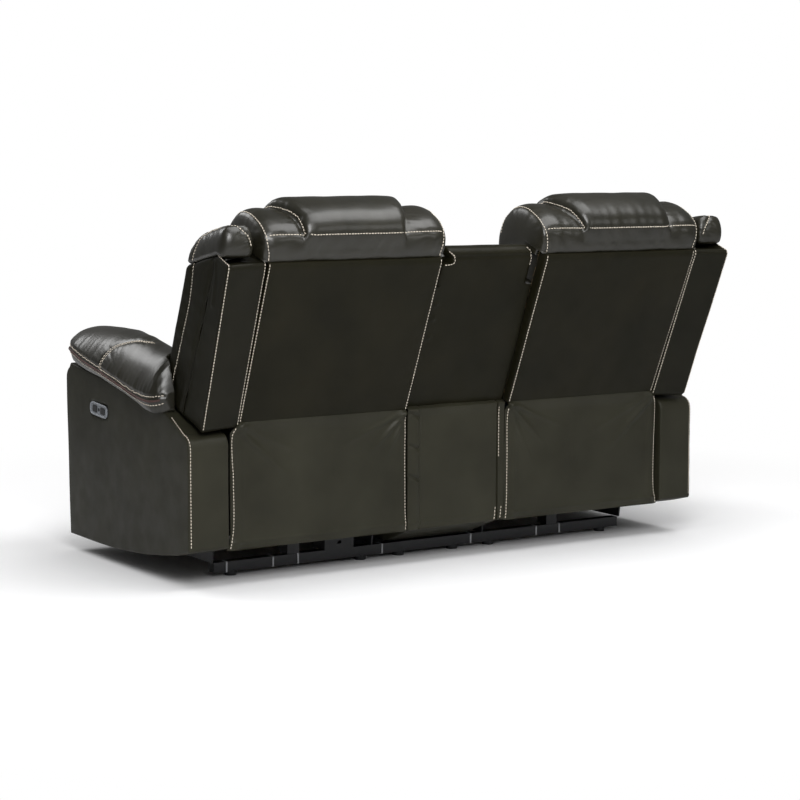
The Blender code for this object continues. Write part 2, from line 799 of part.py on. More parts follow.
def seat_cushion(side):
    """A crowned cushion with a rolled front edge and drawn-in sides."""
    sign = mirror(side)
    low_x = console_half_width + side_gap
    high_x = arm_inner_x - side_gap
    low_z = box_high_z + seat_gap
    height = seat_top_z - low_z
    bm = bmesh.new()
    rings = []
    for x_share, size_share in seat_end_shares:
        x = sign * span(low_x, high_x, x_share)
        crown = 1.0 - seat_crown_share * (2.0 * x_share - 1.0) ** 2
        ring = []
        for depth_share, height_share in seat_section_shares:
            depth = middle_share + (depth_share - middle_share) * size_share
            rise = height_share * crown * size_share
            y = span(cushion_front_y, cushion_rear_y, depth)
            ring.append(Vector((x, y, low_z + height * rise)))
        rings.append(ring)
    loft(bm, rings)
    piece(f"{side}_seat_cushion", bm, "soft_leather")


def actuator(side):
    """The motor with its gear case, foot and rail."""
    sign = mirror(side)
    rail_low = (sign * actuator_x - actuator_rail_half_width, actuator_rail_low_z)
    rail_high = (sign * actuator_x + actuator_rail_half_width, actuator_rail_high_z)
    bm = bmesh.new()
    outline = [
        (gearcase_front_y, gearcase_low_z),
        (gearcase_rear_y, gearcase_low_z),
        (gearcase_rear_y, rail_top_z + seat_gap),
        (actuator_foot_rear_y, rail_top_z + seat_gap),
        (actuator_foot_rear_y, actuator_rail_low_z),
        (gearcase_rear_y, gearcase_high_z),
        (gearcase_front_y, gearcase_high_z),
    ]
    low = sign * actuator_x - actuator_foot_half_width
    prism(bm, "YZ", outline, low, low + 2 * actuator_foot_half_width)
    body = piece(f"{side}_actuator", bm, "black_plastic")
    bm = bmesh.new()
    prism(bm, "XZ", box_outline(*rail_low, *rail_high), actuator_rail_front_y,
          span(gearcase_front_y, gearcase_rear_y, middle_share))
    boolean(body, piece(f"{side}_actuator_rail_guide", bm, None), "UNION")
    bm = bmesh.new()
    middle = span(gearcase_front_y, gearcase_rear_y, middle_share)
    motor = circle((middle, motor_z), motor_radius, round_steps)
    start = sign * actuator_x - gearcase_half_width
    prism(bm, "YZ", motor, start, start + motor_length)
    boolean(body, piece(f"{side}_motor_guide", bm, None), "UNION")


def drive_block(side, parent):
    """The nut block that runs on the actuator's rail, with the crank's lug."""
    sign = mirror(side)
    centre = sign * actuator_x
    bm = bmesh.new()
    outline = box_outline(centre - block_half_width, block_low_z,
                          centre + block_half_width, block_high_z)
    hole_margin = seat_gap
    hole = box_outline(
        centre - actuator_rail_half_width - hole_margin, actuator_rail_low_z - hole_margin,
        centre + actuator_rail_half_width + hole_margin, actuator_rail_high_z + hole_margin,
    )
    prism(bm, "XZ", outline, block_rest_y - block_half_length,
          block_rest_y + block_half_length, [hole])
    block = piece(f"{side}_drive_block", bm, "zinc_steel", parent)
    bm = bmesh.new()
    lug_root = span(actuator_rail_high_z + hole_margin, block_high_z, middle_share)
    lug = box_outline(block_rest_y - block_lug_half_length, lug_root,
                      block_rest_y + block_lug_half_length, block_lug_high_z)
    prism(bm, "YZ", lug, centre - block_lug_half_width, centre + block_lug_half_width)
    boolean(block, piece(f"{side}_lug_guide", bm, None, parent), "UNION")


def power_supply():
    """The box on the rear rail that feeds both motors, with its inlet socket."""
    bm = bmesh.new()
    low_z = rail_top_z + seat_gap
    outline = box_outline(supply_front_y, low_z, supply_rear_y, low_z + supply_height)
    prism(bm, "YZ", outline, supply_x - supply_half_width, supply_x + supply_half_width)
    supply = piece("power_supply", bm, "black_plastic")
    bm = bmesh.new()
    middle_z = low_z + supply_height / 2
    socket = box_outline(supply_x - inlet_half_width, middle_z - inlet_height / 2,
                         supply_x + inlet_half_width, middle_z + inlet_height / 2)
    prism(bm, "XZ", socket, supply_rear_y - inlet_depth, supply_rear_y + cut_overrun)
    boolean(supply, piece("inlet_cutter", bm, None), "DIFFERENCE")


def back_frame(side, parent):
    """The board that carries the back, with an ear on each recline pivot."""
    sign = mirror(side)
    rear = outside_back_rear - outside_back_thickness - seat_gap
    front = rear - frame_thickness
    wide_x = wing_inner_x - seat_gap
    outline = [
        (frame_inner_narrow_x, frame_low), (frame_narrow_x, frame_low),
        (frame_narrow_x, frame_wide_low - frame_shoulder), (wide_x, frame_wide_low),
        (wide_x, frame_high), (outside_back_inner_x, frame_high),
        (outside_back_inner_x, frame_wide_low),
        (frame_inner_narrow_x, frame_wide_low - frame_shoulder),
    ]
    bm = bmesh.new()
    prism(bm, "XZ", [(sign * x, z) for x, z in outline], front, rear)
    frame = piece(f"{side}_back_frame", bm, "board", parent)
    bm = bmesh.new()
    hole = circle((0.0, 0.0), pivot_pin_radius + pin_clearance, round_steps)
    ear = arc((0.0, 0.0), ear_radius, math.pi, 2.0 * math.pi, round_steps // 2)
    ear += [(ear_radius, frame_low), (rear - cut_overrun, frame_low + cut_overrun),
            (front + cut_overrun, frame_low + cut_overrun), (-ear_radius, frame_low)]
    for edge, inwards in ((frame_narrow_x, -1.0), (frame_inner_narrow_x, 1.0)):
        near = edge + inwards * seat_gap
        ends = side_range(sign, near, near + inwards * ear_thickness)
        prism(bm, "YZ", ear, *ends, [hole])
    boolean(frame, piece(f"{side}_ear_guide", bm, None, parent), "UNION")


def outside_back(side, parent):
    """The flat rear panel of a recliner back."""
    sign = mirror(side)
    bm = bmesh.new()
    front = outside_back_rear - outside_back_thickness
    outline = box_outline(front, outside_back_low, outside_back_rear, outside_back_high)
    ends = side_range(sign, outside_back_inner_x, outside_back_outer_x)
    prism(bm, "YZ", outline, *ends)
    piece(f"{side}_outside_back", bm, "rear_leather", parent)


def back_cushion(side, parent):
    """The inside back: three sewn channels across, a lumbar crown, drawn-in sides."""
    sign = mirror(side)
    rear = outside_back_rear - outside_back_thickness - frame_thickness - 2 * seat_gap
    bm = bmesh.new()
    rings = []
    for x_share, size_share in back_end_shares:
        x = sign * span(back_cushion_inner_x, back_cushion_outer_x, x_share)
        ring = []
        for depth_share, height_share in back_section_shares:
            height = middle_share + (height_share - middle_share) * size_share
            ring.append(Vector((
                x,
                span(rear, back_cushion_front, depth_share * size_share),
                span(back_cushion_low, back_cushion_high, height),
            )))
        rings.append(ring)
    loft(bm, rings)
    piece(f"{side}_back_cushion", bm, "soft_leather", parent)


back_section_shares = [
    (0.0, 0.19), (0.28, 0.035), (0.55, 0.03), (0.82, 0.08), (0.97, 0.18), (0.98, 0.27),
    (0.87, 0.345), (0.96, 0.42), (0.97, 0.52), (0.93, 0.61), (0.83, 0.665),
    (0.90, 0.74), (0.90, 0.86), (0.80, 0.96), (0.60, 1.0), (0.0, 1.0),
]
back_end_shares = [
    (0.0, 0.86), (0.012, 0.93), (0.05, 0.975), (0.20, 1.0), (0.5, 1.0),
    (0.80, 1.0), (0.95, 0.975), (0.988, 0.93), (1.0, 0.86),
]

# Headrest: stuffed section as shares of its depth and of its height over the low edge
headrest_section_shares = [
    (0.45, 0.0), (0.20, 0.03), (0.06, 0.14), (0.0, 0.32), (0.0, 0.52), (0.06, 0.72),
    (0.20, 0.90), (0.40, 0.99), (0.60, 1.0), (0.80, 0.95), (0.93, 0.85), (1.0, 0.70),
]
# Across the headrest: place, size of the section, and rise of the raised pad
headrest_end_shares = [
    (0.0, 0.62, 0.0), (0.012, 0.80, 0.0), (0.030, 0.91, 0.0), (0.052, 0.96, 0.0),
    (0.085, 0.98, 0.0), (0.15, 1.0, 0.1), (0.205, 1.0, 0.0), (0.225, 1.0, 0.70),
    (0.29, 1.0, 0.97), (0.5, 1.0, 1.0), (0.71, 1.0, 0.97), (0.775, 1.0, 0.70),
    (0.795, 1.0, 0.0), (0.85, 1.0, 0.1), (0.915, 0.98, 0.0), (0.948, 0.96, 0.0),
    (0.970, 0.91, 0.0), (0.988, 0.80, 0.0), (1.0, 0.62, 0.0),
]
headrest_end_share = 0.06    # this much of each end stands over the wing's top
pad_from_share = 0.70        # the raised pad leaves the lower part as it is


def wing_top(y):
    """The height of the wing's top at a depth of the back's frame."""
    return wing_high + (y - wing_rear) * math.tan(back_lean)


def headrest(side, parent):
    """The roll over the top of a back: raised centre pad, two lobes, rounded ends."""
    sign = mirror(side)
    height = headrest_end_top - headrest_low
    depth = headrest_rear - headrest_front
    ledge_share = (headrest_ledge - headrest_low) / height
    board_front = outside_back_rear - outside_back_thickness - frame_thickness - 2 * seat_gap
    board_share = (board_front - headrest_front) / depth
    # The notch that sits on the board: its inner corner and front foot
    notch_shares = [(board_share, ledge_share), (board_share, 0.0)]
    bm = bmesh.new()
    rings = []
    for x_share, size_share, rise_share in headrest_end_shares:
        section = []
        for depth_share, height_share in headrest_section_shares:
            place = middle_share + (depth_share - middle_share) * size_share
            up = middle_share + (height_share - middle_share) * size_share
            section.append((place, up))
        section += [(section[-1][0], ledge_share)] + notch_shares
        ring = []
        for place, up in section:
            y = span(headrest_front, headrest_rear, place)
            if min(x_share, 1.0 - x_share) < headrest_end_share:
                up = max(up, (wing_top(y) + 2 * seat_gap - headrest_low) / height)
            lift_share = max(0.0, up - pad_from_share) / (1.0 - pad_from_share)
            lift = headrest_pad_rise * rise_share * lift_share
            x = sign * span(headrest_inner_x, headrest_outer_x, x_share)
            y -= lift * (middle_share - place)
            ring.append(Vector((x, y, headrest_low + height * up + lift)))
        rings.append(ring)
    loft(bm, rings, headrest_end_bulge)
    piece(f"{side}_headrest", bm, "soft_leather", parent)


# Wing: section across and fore-and-aft, from the rear outer corner round the front
wing_section_shares = [
    (1.0, 1.0), (1.0, 0.60), (0.985, 0.30), (0.90, 0.10), (0.70, 0.0), (0.40, 0.0),
    (0.12, 0.08), (0.0, 0.30), (0.0, 1.0),
]
wing_station_shares = [
    (0.0, 0.90), (0.03, 0.96), (0.10, 1.0), (0.5, 1.0), (0.90, 1.0), (1.0, 0.97),
]


def wing(side, parent):
    """The upright side pad of a back, flat behind and bulged ahead."""
    sign = mirror(side)
    bm = bmesh.new()
    rings = []
    for up_share, size_share in wing_station_shares:
        ring = []
        for across_share, along_share in wing_section_shares:
            x = span(wing_inner_x, wing_outer_x, across_share * size_share)
            y = span(wing_rear, wing_front, (1.0 - along_share) * size_share)
            ring.append(Vector((sign * x, y, span(wing_low, wing_top(y), up_share))))
        rings.append(ring)
    loft(bm, rings)
    piece(f"{side}_wing", bm, "rear_leather", parent)


pillow_section_shares = [
    (0.15, 0.0), (0.02, 0.12), (0.0, 0.35), (0.05, 0.62), (0.20, 0.85), (0.42, 0.98),
    (0.65, 1.0), (0.85, 0.88), (0.97, 0.62), (1.0, 0.32), (0.95, 0.08), (0.85, 0.0),
]
pillow_end_shares = [
    (0.0, 0.72), (0.06, 0.88), (0.20, 0.97), (0.5, 1.0), (0.80, 0.95), (0.94, 0.82),
    (1.0, 0.62),
]


def shoulder_pillow(side, parent):
    """The small stuffed pillow on top of the wing."""
    sign = mirror(side)
    bm = bmesh.new()
    rings = []
    for x_share, size_share in pillow_end_shares:
        x = sign * span(pillow_inner_x, pillow_outer_x, x_share)
        ring = []
        for depth_share, height_share in pillow_section_shares:
            depth = middle_share + (depth_share - middle_share) * size_share
            y = span(pillow_front, pillow_rear, depth)
            low = wing_top(y) + seat_gap
            ring.append(Vector((x, y, span(low, pillow_high, height_share * size_share))))
        rings.append(ring)
    loft(bm, rings)
    piece(f"{side}_shoulder_pillow", bm, "soft_leather", parent)


def flap(name, low_x, high_x):
    """A leather flap that hangs behind, with a fold at its top and a turned hem."""
    front = flap_rear_y - flap_thickness
    half = flap_thickness / 2
    outline = [
        (front, flap_low_z), (front + half, flap_low_z),
        (flap_rear_y, flap_low_z + flap_hem), (flap_rear_y, flap_high_z - half),
        (flap_rear_y - half, flap_high_z), (front, flap_high_z),
    ]
    bm = bmesh.new()
    prism(bm, "YZ", outline, low_x, high_x)
    piece(name, bm, "side_leather")


# The arm's bottom edge behind its straight part, as shares of length and of rise
arm_bottom_shares = [(0.0, 0.0), (0.38, 0.20), (0.63, 0.42), (0.83, 0.66), (1.0, 1.0)]
arm_bottom_bend_y = -0.184
arm_bottom_rear_z = 0.115


# The arm's top edge under the pad, as shares of its length and of its fall
arm_top_shares = [(0.0, 0.0), (0.446, 0.39), (0.76, 0.60), (1.0, 1.0)]


def arm_top(along):
    """A point on the arm's top edge, or on the slope behind it past the full length."""
    fall = arm_top_shares[-1][1]
    for near, far in zip(arm_top_shares, arm_top_shares[1:]):
        if near[0] <= along <= far[0]:
            fall = span(near[1], far[1], (along - near[0]) / (far[0] - near[0]))
    y = span(pad_front_y, arm_slope_y, along)
    z = span(pad_front_low_z, arm_slope_z, fall)
    if along > 1.0:
        run = (y - arm_slope_y) / (arm_rear_y - arm_rear_radius - arm_slope_y)
        z = span(arm_slope_z, recline_pivot_z, run)
    return y, z


def arm_box(side):
    """The arm's body: slanted front, rising bottom edge, rounded rear shoulder."""
    sign = mirror(side)
    outline = [(arm_front_bottom_y, arm_base_z)]
    outline += [
        (span(arm_bottom_bend_y, arm_rear_y, along), span(arm_base_z, arm_bottom_rear_z, up))
        for along, up in arm_bottom_shares
    ]
    shoulder = (arm_rear_y - arm_rear_radius, recline_pivot_z - arm_rear_radius)
    outline += arc(shoulder, arm_rear_radius, 0.0, math.pi / 2, 4)
    outline += [arm_top(along) for along, fall in reversed(arm_top_shares)]
    nose = (arm_front_y + arm_front_radius, arm_top_front_z - arm_front_radius / 2)
    outline += arc(nose, arm_front_radius, math.pi * 0.62, math.pi, 4)
    bm = bmesh.new()
    ends = side_range(sign, arm_inner_x, arm_outer_x)
    prism(bm, "YZ", outline, *ends)
    piece(f"{side}_arm_box", bm, "side_leather")


# Arm pad: stations along its length as (place, inner edge, outer edge, top, lift of base).
# The last ones are the tail beside the wing, which starts at the wing's outer face.
arm_pad_station_shares = [
    (0.0, 0.25, 0.75, 0.34, 0.18), (0.012, 0.16, 0.84, 0.50, 0.10),
    (0.05, 0.07, 0.93, 0.74, 0.03), (0.12, 0.02, 0.98, 0.90, 0.0),
    (0.26, 0.0, 1.0, 1.0, 0.0), (0.446, 0.0, 1.0, 1.10, 0.0), (0.60, 0.0, 1.0, 1.16, 0.0),
    (0.76, 0.0, 1.0, 1.10, 0.0), (0.835, 0.0, 1.0, 0.95, 0.0), (0.86, 0.04, 1.0, 0.82, 0.0),
    (0.879, 1.0, 0.99, 0.62, 0.0), (0.93, 1.0, 0.96, 0.52, 0.0), (1.0, 1.0, 0.90, 0.42, 0.0),
    (1.04, 1.0, 0.85, 0.36, 0.0),
]
arm_pad_section_shares = [
    (0.12, 0.0), (0.02, 0.10), (0.0, 0.26), (0.02, 0.48), (0.10, 0.72), (0.25, 0.91),
    (0.45, 1.0), (0.62, 0.99), (0.80, 0.86), (0.93, 0.64), (1.0, 0.36), (1.0, 0.18),
    (0.96, 0.05), (0.86, 0.0),
]
arm_pad_wing_gap = 0.006


def arm_pad(side):
    """The pillow top: a stuffed pad that overhangs the arm, with a tail beside the wing."""
    sign = mirror(side)
    bm = bmesh.new()
    rings = []
    for along, inner_share, outer_share, top_share, lift_share in arm_pad_station_shares:
        y, base = arm_top(along)
        base += seat_gap
        inner = span(pad_inner_x, pad_outer_x, inner_share)
        if inner_share == 1.0:
            inner = wing_outer_x + arm_pad_wing_gap
        outer = span(pad_inner_x, pad_outer_x, outer_share)
        ring = []
        for across_share, up_share in arm_pad_section_shares:
            up = pad_height * max(up_share * top_share, lift_share)
            ring.append(Vector((sign * span(inner, outer, across_share), y, base + up)))
        rings.append(ring)
    loft(bm, rings)
    piece(f"{side}_arm_pad", bm, "soft_leather")


def switch(side, parents):
    """The oval switch plate and its two buttons on the arm's outer side."""
    sign = mirror(side)

    def tilt(point):
        turned = Matrix.Rotation(switch_slope, 2) @ Vector(point)
        return (switch_y + turned[0], switch_z + turned[1])

    near = arm_outer_x + seat_gap
    outline = round_box_outline((0.0, 0.0), switch_half_length, switch_half_height,
                                switch_end_radius, 5)
    windows = []
    for direction in (-1.0, 1.0):
        windows.append(round_box_outline(
            (direction * button_offset, 0.0), button_half_length + button_clearance,
            button_half_height + button_clearance, button_corner + button_clearance, 2))
    bm = bmesh.new()
    holes = [[tilt(point) for point in window] for window in windows]
    ends = side_range(sign, near, near + switch_thickness)
    prism(bm, "YZ", [tilt(point) for point in outline], *ends, holes)
    piece(f"{side}_switch_plate", bm, "grey_plastic")
    for direction, use in ((-1.0, "out"), (1.0, "in")):
        cap = round_box_outline((direction * button_offset, 0.0), button_half_length,
                                button_half_height, button_corner, 2)
        bm = bmesh.new()
        low = arm_outer_x + button_travel + 2 * seat_gap
        ends = side_range(sign, low, low + button_thickness)
        prism(bm, "YZ", [tilt(point) for point in cap], *ends)
        piece(f"{side}_switch_button_{use}", bm, "black_plastic", parents[use])


def console_box():
    """The console's body with its storage bin and two holes for the cup holders."""
    outline = [
        (console_front_y, console_low_z), (console_bend_y, console_low_z),
        (console_rear_y, console_rear_low_z), (console_rear_y, console_step_z),
        (console_step_y, console_step_z), (console_step_y, console_top_z),
        (console_front_y, console_top_z),
    ]
    bm = bmesh.new()
    prism(bm, "YZ", outline, -console_half_width, console_half_width)
    body = piece("console_box", bm, "side_leather")
    bm = bmesh.new()
    bin_outline = box_outline(-bin_half_width, bin_front_y, bin_half_width, bin_rear_y)
    prism(bm, "XY", bin_outline, bin_floor_z, console_top_z + cut_overrun)
    for sign in map(mirror, sides):
        hole = circle((sign * cup_x, cup_y), cup_hole_radius, cup_steps)
        prism(bm, "XY", hole, console_top_z - cup_depth, console_top_z + cut_overrun)
    boolean(body, piece("console_cutter", bm, None), "DIFFERENCE")


def cup_holder(side):
    """A pressed steel cup with a flange that rests on the console's top."""
    sign = mirror(side)
    outer = cup_hole_radius - cup_clearance
    inner = outer - cup_wall
    flange_low = console_top_z + seat_gap
    top = flange_low + cup_flange_thickness
    floor = console_top_z - cup_depth + 2 * seat_gap
    profile = [
        (0.0, floor), (outer, floor), (outer, flange_low), (cup_flange_radius, flange_low),
        (cup_flange_radius, top), (inner, top), (inner, floor + cup_wall),
        (0.0, floor + cup_wall),
    ]
    bm = bmesh.new()
    rings = []
    for radius, height in profile[1:-1]:
        spot = circle((sign * cup_x, cup_y), radius, cup_steps)
        rings.append([Vector((x, y, height)) for x, y in spot])
    loft(bm, rings)
    piece(f"cup_holder_{side}", bm, "zinc_steel")


lid_section_shares = [
    (0.02, 0.0), (0.0, 0.20), (0.01, 0.55), (0.05, 0.80), (0.14, 0.93), (0.30, 0.99),
    (0.55, 1.0), (0.80, 0.97), (0.93, 0.85), (0.985, 0.60), (1.0, 0.20), (1.0, 0.0),
]
lid_end_shares = [
    (0.0, 0.84), (0.02, 0.92), (0.08, 0.975), (0.25, 1.0), (0.5, 1.0), (0.75, 1.0),
    (0.92, 0.975), (0.98, 0.92), (1.0, 0.84),
]


def console_lid(parent):
    """The padded lid over the bin, hinged along its rear edge."""
    low = console_top_z + seat_gap
    bm = bmesh.new()
    rings = []
    for x_share, size_share in lid_end_shares:
        x = span(-lid_half_width, lid_half_width, x_share)
        rings.append([
            Vector((
                x,
                span(lid_front_y, lid_hinge_y - lid_setback, depth_share),
                low + lid_height * height_share * size_share,
            ))
            for depth_share, height_share in lid_section_shares
        ])
    loft(bm, rings)
    piece("console_lid", bm, "soft_leather", parent)


def console_back():
    """The fixed back between the seats, with a rounded top edge."""
    slope = math.tan(back_lean)
    rear_at_pivot = recline_pivot_y + outside_back_rear / math.cos(back_lean)
    low_z = console_step_z + seat_gap

    def rear_y(z):
        return rear_at_pivot - console_back_setback + (z - recline_pivot_z) * slope

    depth = console_back_thickness / math.cos(back_lean)
    round_z = console_back_top_z - console_back_radius
    rear_centre = (rear_y(round_z) - console_back_radius, round_z)
    front_centre = (rear_y(round_z) - depth + console_back_radius, round_z)
    outline = [(rear_y(low_z) - depth, low_z), (rear_y(low_z), low_z)]
    outline += arc(rear_centre, console_back_radius, 0.0, math.pi / 2, 4)
    outline += arc(front_centre, console_back_radius, math.pi / 2, math.pi, 4)
    bm = bmesh.new()
    prism(bm, "YZ", outline, -console_back_half_width, console_back_half_width)
    piece("console_back", bm, "rear_leather")


def build_seat(side):
    """Everything that belongs to one seat."""
    sign = mirror(side)
    for which in plate_faces:
        side_plate(side, which)
    seat_frame(side)
    seat_cushion(side)
    arm_box(side)
    arm_pad(side)
    actuator(side)
    seat_x = sign * actuator_x
    lean_axis = axis_empty(f"{side}_recline_axis", (0.0, *recline_pivot), lean=back_lean)
    swing_axis = axis_empty(f"{side}_swing_axis", (seat_x, *swing_pivot))
    guide_axis = axis_empty(f"{side}_guide_axis", (seat_x, *guide_pivot))
    elbow_axis = axis_empty(f"{side}_elbow_axis", (seat_x, *elbow), swing_axis)
    board_axis = axis_empty(f"{side}_footrest_axis", (seat_x, *footrest_pivot), elbow_axis)
    block_path = axis_empty(f"{side}_drive_path", (seat_x, block_rest_y, actuator_rail_low_z))
    swing_links(side, swing_axis)
    guide_links(side, guide_axis)
    extension_links(side, elbow_axis)
    footrest(side, board_axis)
    drive_block(side, block_path)
    back_frame(side, lean_axis)
    outside_back(side, lean_axis)
    back_cushion(side, lean_axis)
    headrest(side, lean_axis)
    wing(side, lean_axis)
    shoulder_pillow(side, lean_axis)
    flap_outer_x = arm_inner_x - seat_gap
    flap(f"{side}_tailgate", *side_range(sign, flap_inner_x, flap_outer_x))
    button_axes = {
        use: axis_empty(f"{side}_button_{use}_path", (sign * arm_outer_x, switch_y, switch_z))
        for use in ("out", "in")
    }
    switch(side, button_axes)


clear_scene()
floor_rail("rear_rail", rear_rail_y)
floor_rail("front_rail", front_rail_y)
for seat_side in sides:
    build_seat(seat_side)
power_supply()
console_box()
for seat_side in sides:
    cup_holder(seat_side)
console_lid(axis_empty("lid_axis", (0.0, lid_hinge_y, console_top_z)))
console_back()
flap("console_tailgate", -console_flap_half_width, console_flap_half_width)
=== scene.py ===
"""Looks of a power reclining loveseat with a centre console.

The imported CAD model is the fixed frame: metres, +Z up, the front faces -Y and the sitter's
left is +X. Each sub-assembly is a class that builds its upholstery around that frame. The
pieces of the right seat are those of the left one, mirrored in X.
"""

import json
import logging
import math
from dataclasses import dataclass, field
from enum import Enum
from functools import partial
from typing import Callable, Sequence

import bpy
import numpy as np
from mathutils import Matrix, Vector, noise
from mathutils.bvhtree import BVHTree

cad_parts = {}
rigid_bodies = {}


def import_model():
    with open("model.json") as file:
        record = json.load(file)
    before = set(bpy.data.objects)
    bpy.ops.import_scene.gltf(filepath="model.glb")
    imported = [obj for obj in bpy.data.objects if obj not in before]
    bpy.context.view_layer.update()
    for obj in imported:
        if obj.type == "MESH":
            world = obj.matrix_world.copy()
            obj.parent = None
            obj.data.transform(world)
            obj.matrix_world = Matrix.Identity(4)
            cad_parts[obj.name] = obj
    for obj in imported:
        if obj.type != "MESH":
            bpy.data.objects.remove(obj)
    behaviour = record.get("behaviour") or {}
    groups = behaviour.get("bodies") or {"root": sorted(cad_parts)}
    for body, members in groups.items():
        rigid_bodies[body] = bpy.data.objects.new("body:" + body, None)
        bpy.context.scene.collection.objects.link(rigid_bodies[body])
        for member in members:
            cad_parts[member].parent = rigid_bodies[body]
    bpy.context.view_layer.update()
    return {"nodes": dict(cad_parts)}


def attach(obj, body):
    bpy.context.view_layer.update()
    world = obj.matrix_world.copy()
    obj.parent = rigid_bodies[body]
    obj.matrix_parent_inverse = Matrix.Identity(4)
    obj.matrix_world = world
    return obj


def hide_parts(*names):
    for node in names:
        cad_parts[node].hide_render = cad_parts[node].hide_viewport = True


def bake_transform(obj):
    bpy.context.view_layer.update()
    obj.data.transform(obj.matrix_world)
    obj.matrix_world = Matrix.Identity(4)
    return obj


for leftover in list(bpy.data.objects):
    bpy.data.objects.remove(leftover, do_unlink=True)
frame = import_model()

log = logging.getLogger("loveseat")
Array = np.ndarray

# The back's own frame leans from its recline pivot: across, out to the rear, up the lean
LEAN = math.radians(21.5)
PIVOT_Y = 0.262
PIVOT_Z = 0.437
PIECE_GAP = 0.0006          # between two pieces that touch
MILLIMETRE = 0.001
PANEL_OUT = 0.0227          # the outside backs' rear face in the back's frame
WHITE = (1.0, 1.0, 1.0, 1.0)
TINY = 1e-9                 # stands in for no length in a division
TINY_AREA = 1e-12           # and for no area


class Side(Enum):
    """The side of the loveseat that a piece is on, as the sign of its X."""

    LEFT = 1
    RIGHT = -1

    @property
    def label(self) -> str:
        """The side's name in piece and body names."""
        return self.name.lower()


class Slot(Enum):
    """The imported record's material slots that dressed pieces have."""

    SIDE = "side_leather"
    REAR = "rear_leather"
    SOFT = "soft_leather"
    GREY = "grey_plastic"
    PLASTIC = "black_plastic"


# ---------------------------------------------------------------- shapes


def from_back(points: Sequence) -> Array:
    """Leave the back's own frame.

    Args:
        points: Rows of (across, out, up).

    Returns:
        The points in the row frame.
    """
    across, out, up = np.moveaxis(np.asarray(points, float), -1, 0)
    y = PIVOT_Y + out * math.cos(LEAN) + up * math.sin(LEAN)
    z = PIVOT_Z - out * math.sin(LEAN) + up * math.cos(LEAN)
    return np.stack((across, y, z), axis=-1)


def to_back(points: Array) -> Array:
    """Enter the back's own frame.

    Args:
        points: Points in the row frame.

    Returns:
        Rows of (across, out, up).
    """
    y, z = points[..., 1] - PIVOT_Y, points[..., 2] - PIVOT_Z
    out = y * math.cos(LEAN) - z * math.sin(LEAN)
    return np.stack((points[..., 0], out, y * math.sin(LEAN) + z * math.cos(LEAN)), axis=-1)


def measured(path: Array) -> Array:
    """The distance of each point of a polyline from its start."""
    steps = np.linalg.norm(np.diff(path, axis=0), axis=1)
    return np.concatenate(([0.0], np.cumsum(steps)))


def looked_up(places: Array, along: Array, path: Array) -> Array:
    """The points at some distances along a polyline."""
    return np.stack([np.interp(places, along, column) for column in path.T], axis=-1)


def resample(path: Array, count: int) -> Array:
    """Space points evenly along a polyline, both ends included."""
    along = measured(path)
    return looked_up(np.linspace(0.0, along[-1], count), along, path)


def smooth_path(points: Sequence, count: int, closed: bool = False) -> Array:
    """Draw a centripetal Catmull-Rom curve through points.

    Args:
        points: The points that the curve passes.
        count: How many points to return.
        closed: Whether the curve returns to its start.

    Returns:
        Evenly spaced points on the curve. A closed curve doesn't repeat its first point.
    """
    given = np.asarray(points, float)
    if closed:
        row = np.vstack((given[-1], given, given[:2]))
    else:
        row = np.vstack((2 * given[0] - given[1], given, 2 * given[-1] - given[-2]))
    fine = []
    for p0, p1, p2, p3 in zip(row, row[1:], row[2:], row[3:]):
        t1, step, last = (max(np.linalg.norm(b - a), TINY) ** 0.5
                          for a, b in ((p0, p1), (p1, p2), (p2, p3)))
        t2, t3 = t1 + step, t1 + step + last
        t = np.linspace(t1, t2, 12, endpoint=False)[:, None]
        a1 = (t1 - t) / t1 * p0 + t / t1 * p1
        a2 = (t2 - t) / (t2 - t1) * p1 + (t - t1) / (t2 - t1) * p2
        a3 = (t3 - t) / (t3 - t2) * p2 + (t - t2) / (t3 - t2) * p3
        b1 = (t2 - t) / t2 * a1 + t / t2 * a2
        b2 = (t3 - t) / (t3 - t1) * a2 + (t - t1) / (t3 - t1) * a3
        fine.append((t2 - t) / (t2 - t1) * b1 + (t - t1) / (t2 - t1) * b2)
    fine.append(given[:1] if closed else row[-2:-1])
    made = resample(np.vstack(fine), count + closed)
    return made[:-1] if closed else made


def looped(corners: Sequence, count: int) -> Array:
    """Space points evenly round a closed outline."""
    return resample(np.vstack((corners, corners[:1])), count + 1)[:-1]


def rounded_outline(corners: Sequence, radii: Sequence, count: int) -> Array:
    """Round the corners of a closed outline.

    Args:
        corners: The outline's corner points in a plane.
        radii: The rounding of each corner, 0 for a corner left sharp.
        count: How many points to return.

    Returns:
        Evenly spaced points round the outline.
    """
    given = np.asarray(corners, float)
    made = []
    for corner, before, after, radius in zip(given, np.roll(given, 1, axis=0),
                                             np.roll(given, -1, axis=0), radii):
        start, end = (corner + (other - corner) / np.linalg.norm(other - corner) * radius
                      for other in (before, after))
        for blend in np.linspace(0.0, 1.0, 7) if radius else (0.5,):
            near = start + (corner - start) * blend
            far = corner + (end - corner) * blend
            made.append(near + (far - near) * blend)
    return looped(made, count)


def ramp(past: Array | float, length: Array | float) -> Array | float:
    """Rise evenly from 0 to 1 over a length."""
    return np.clip(past / length, 0, 1)


def bell(far: Array | float, width: float, power: float = 2) -> Array | float:
    """Fall smoothly from 1 to 0 with the distance from a place."""
    return np.exp(-((far / width) ** power))


def shares(table: Sequence, places: Array) -> Array:
    """Look up a table of (place, value) rows."""
    return np.interp(places, *np.asarray(table, float).T)


def graded(count: int, crowding: float) -> Array:
    """Places from 0 to 1 that crowd towards both ends."""
    even = np.linspace(0.0, 1.0, count)
    return even * (1 - crowding) + crowding * (0.5 - 0.5 * np.cos(np.pi * even))


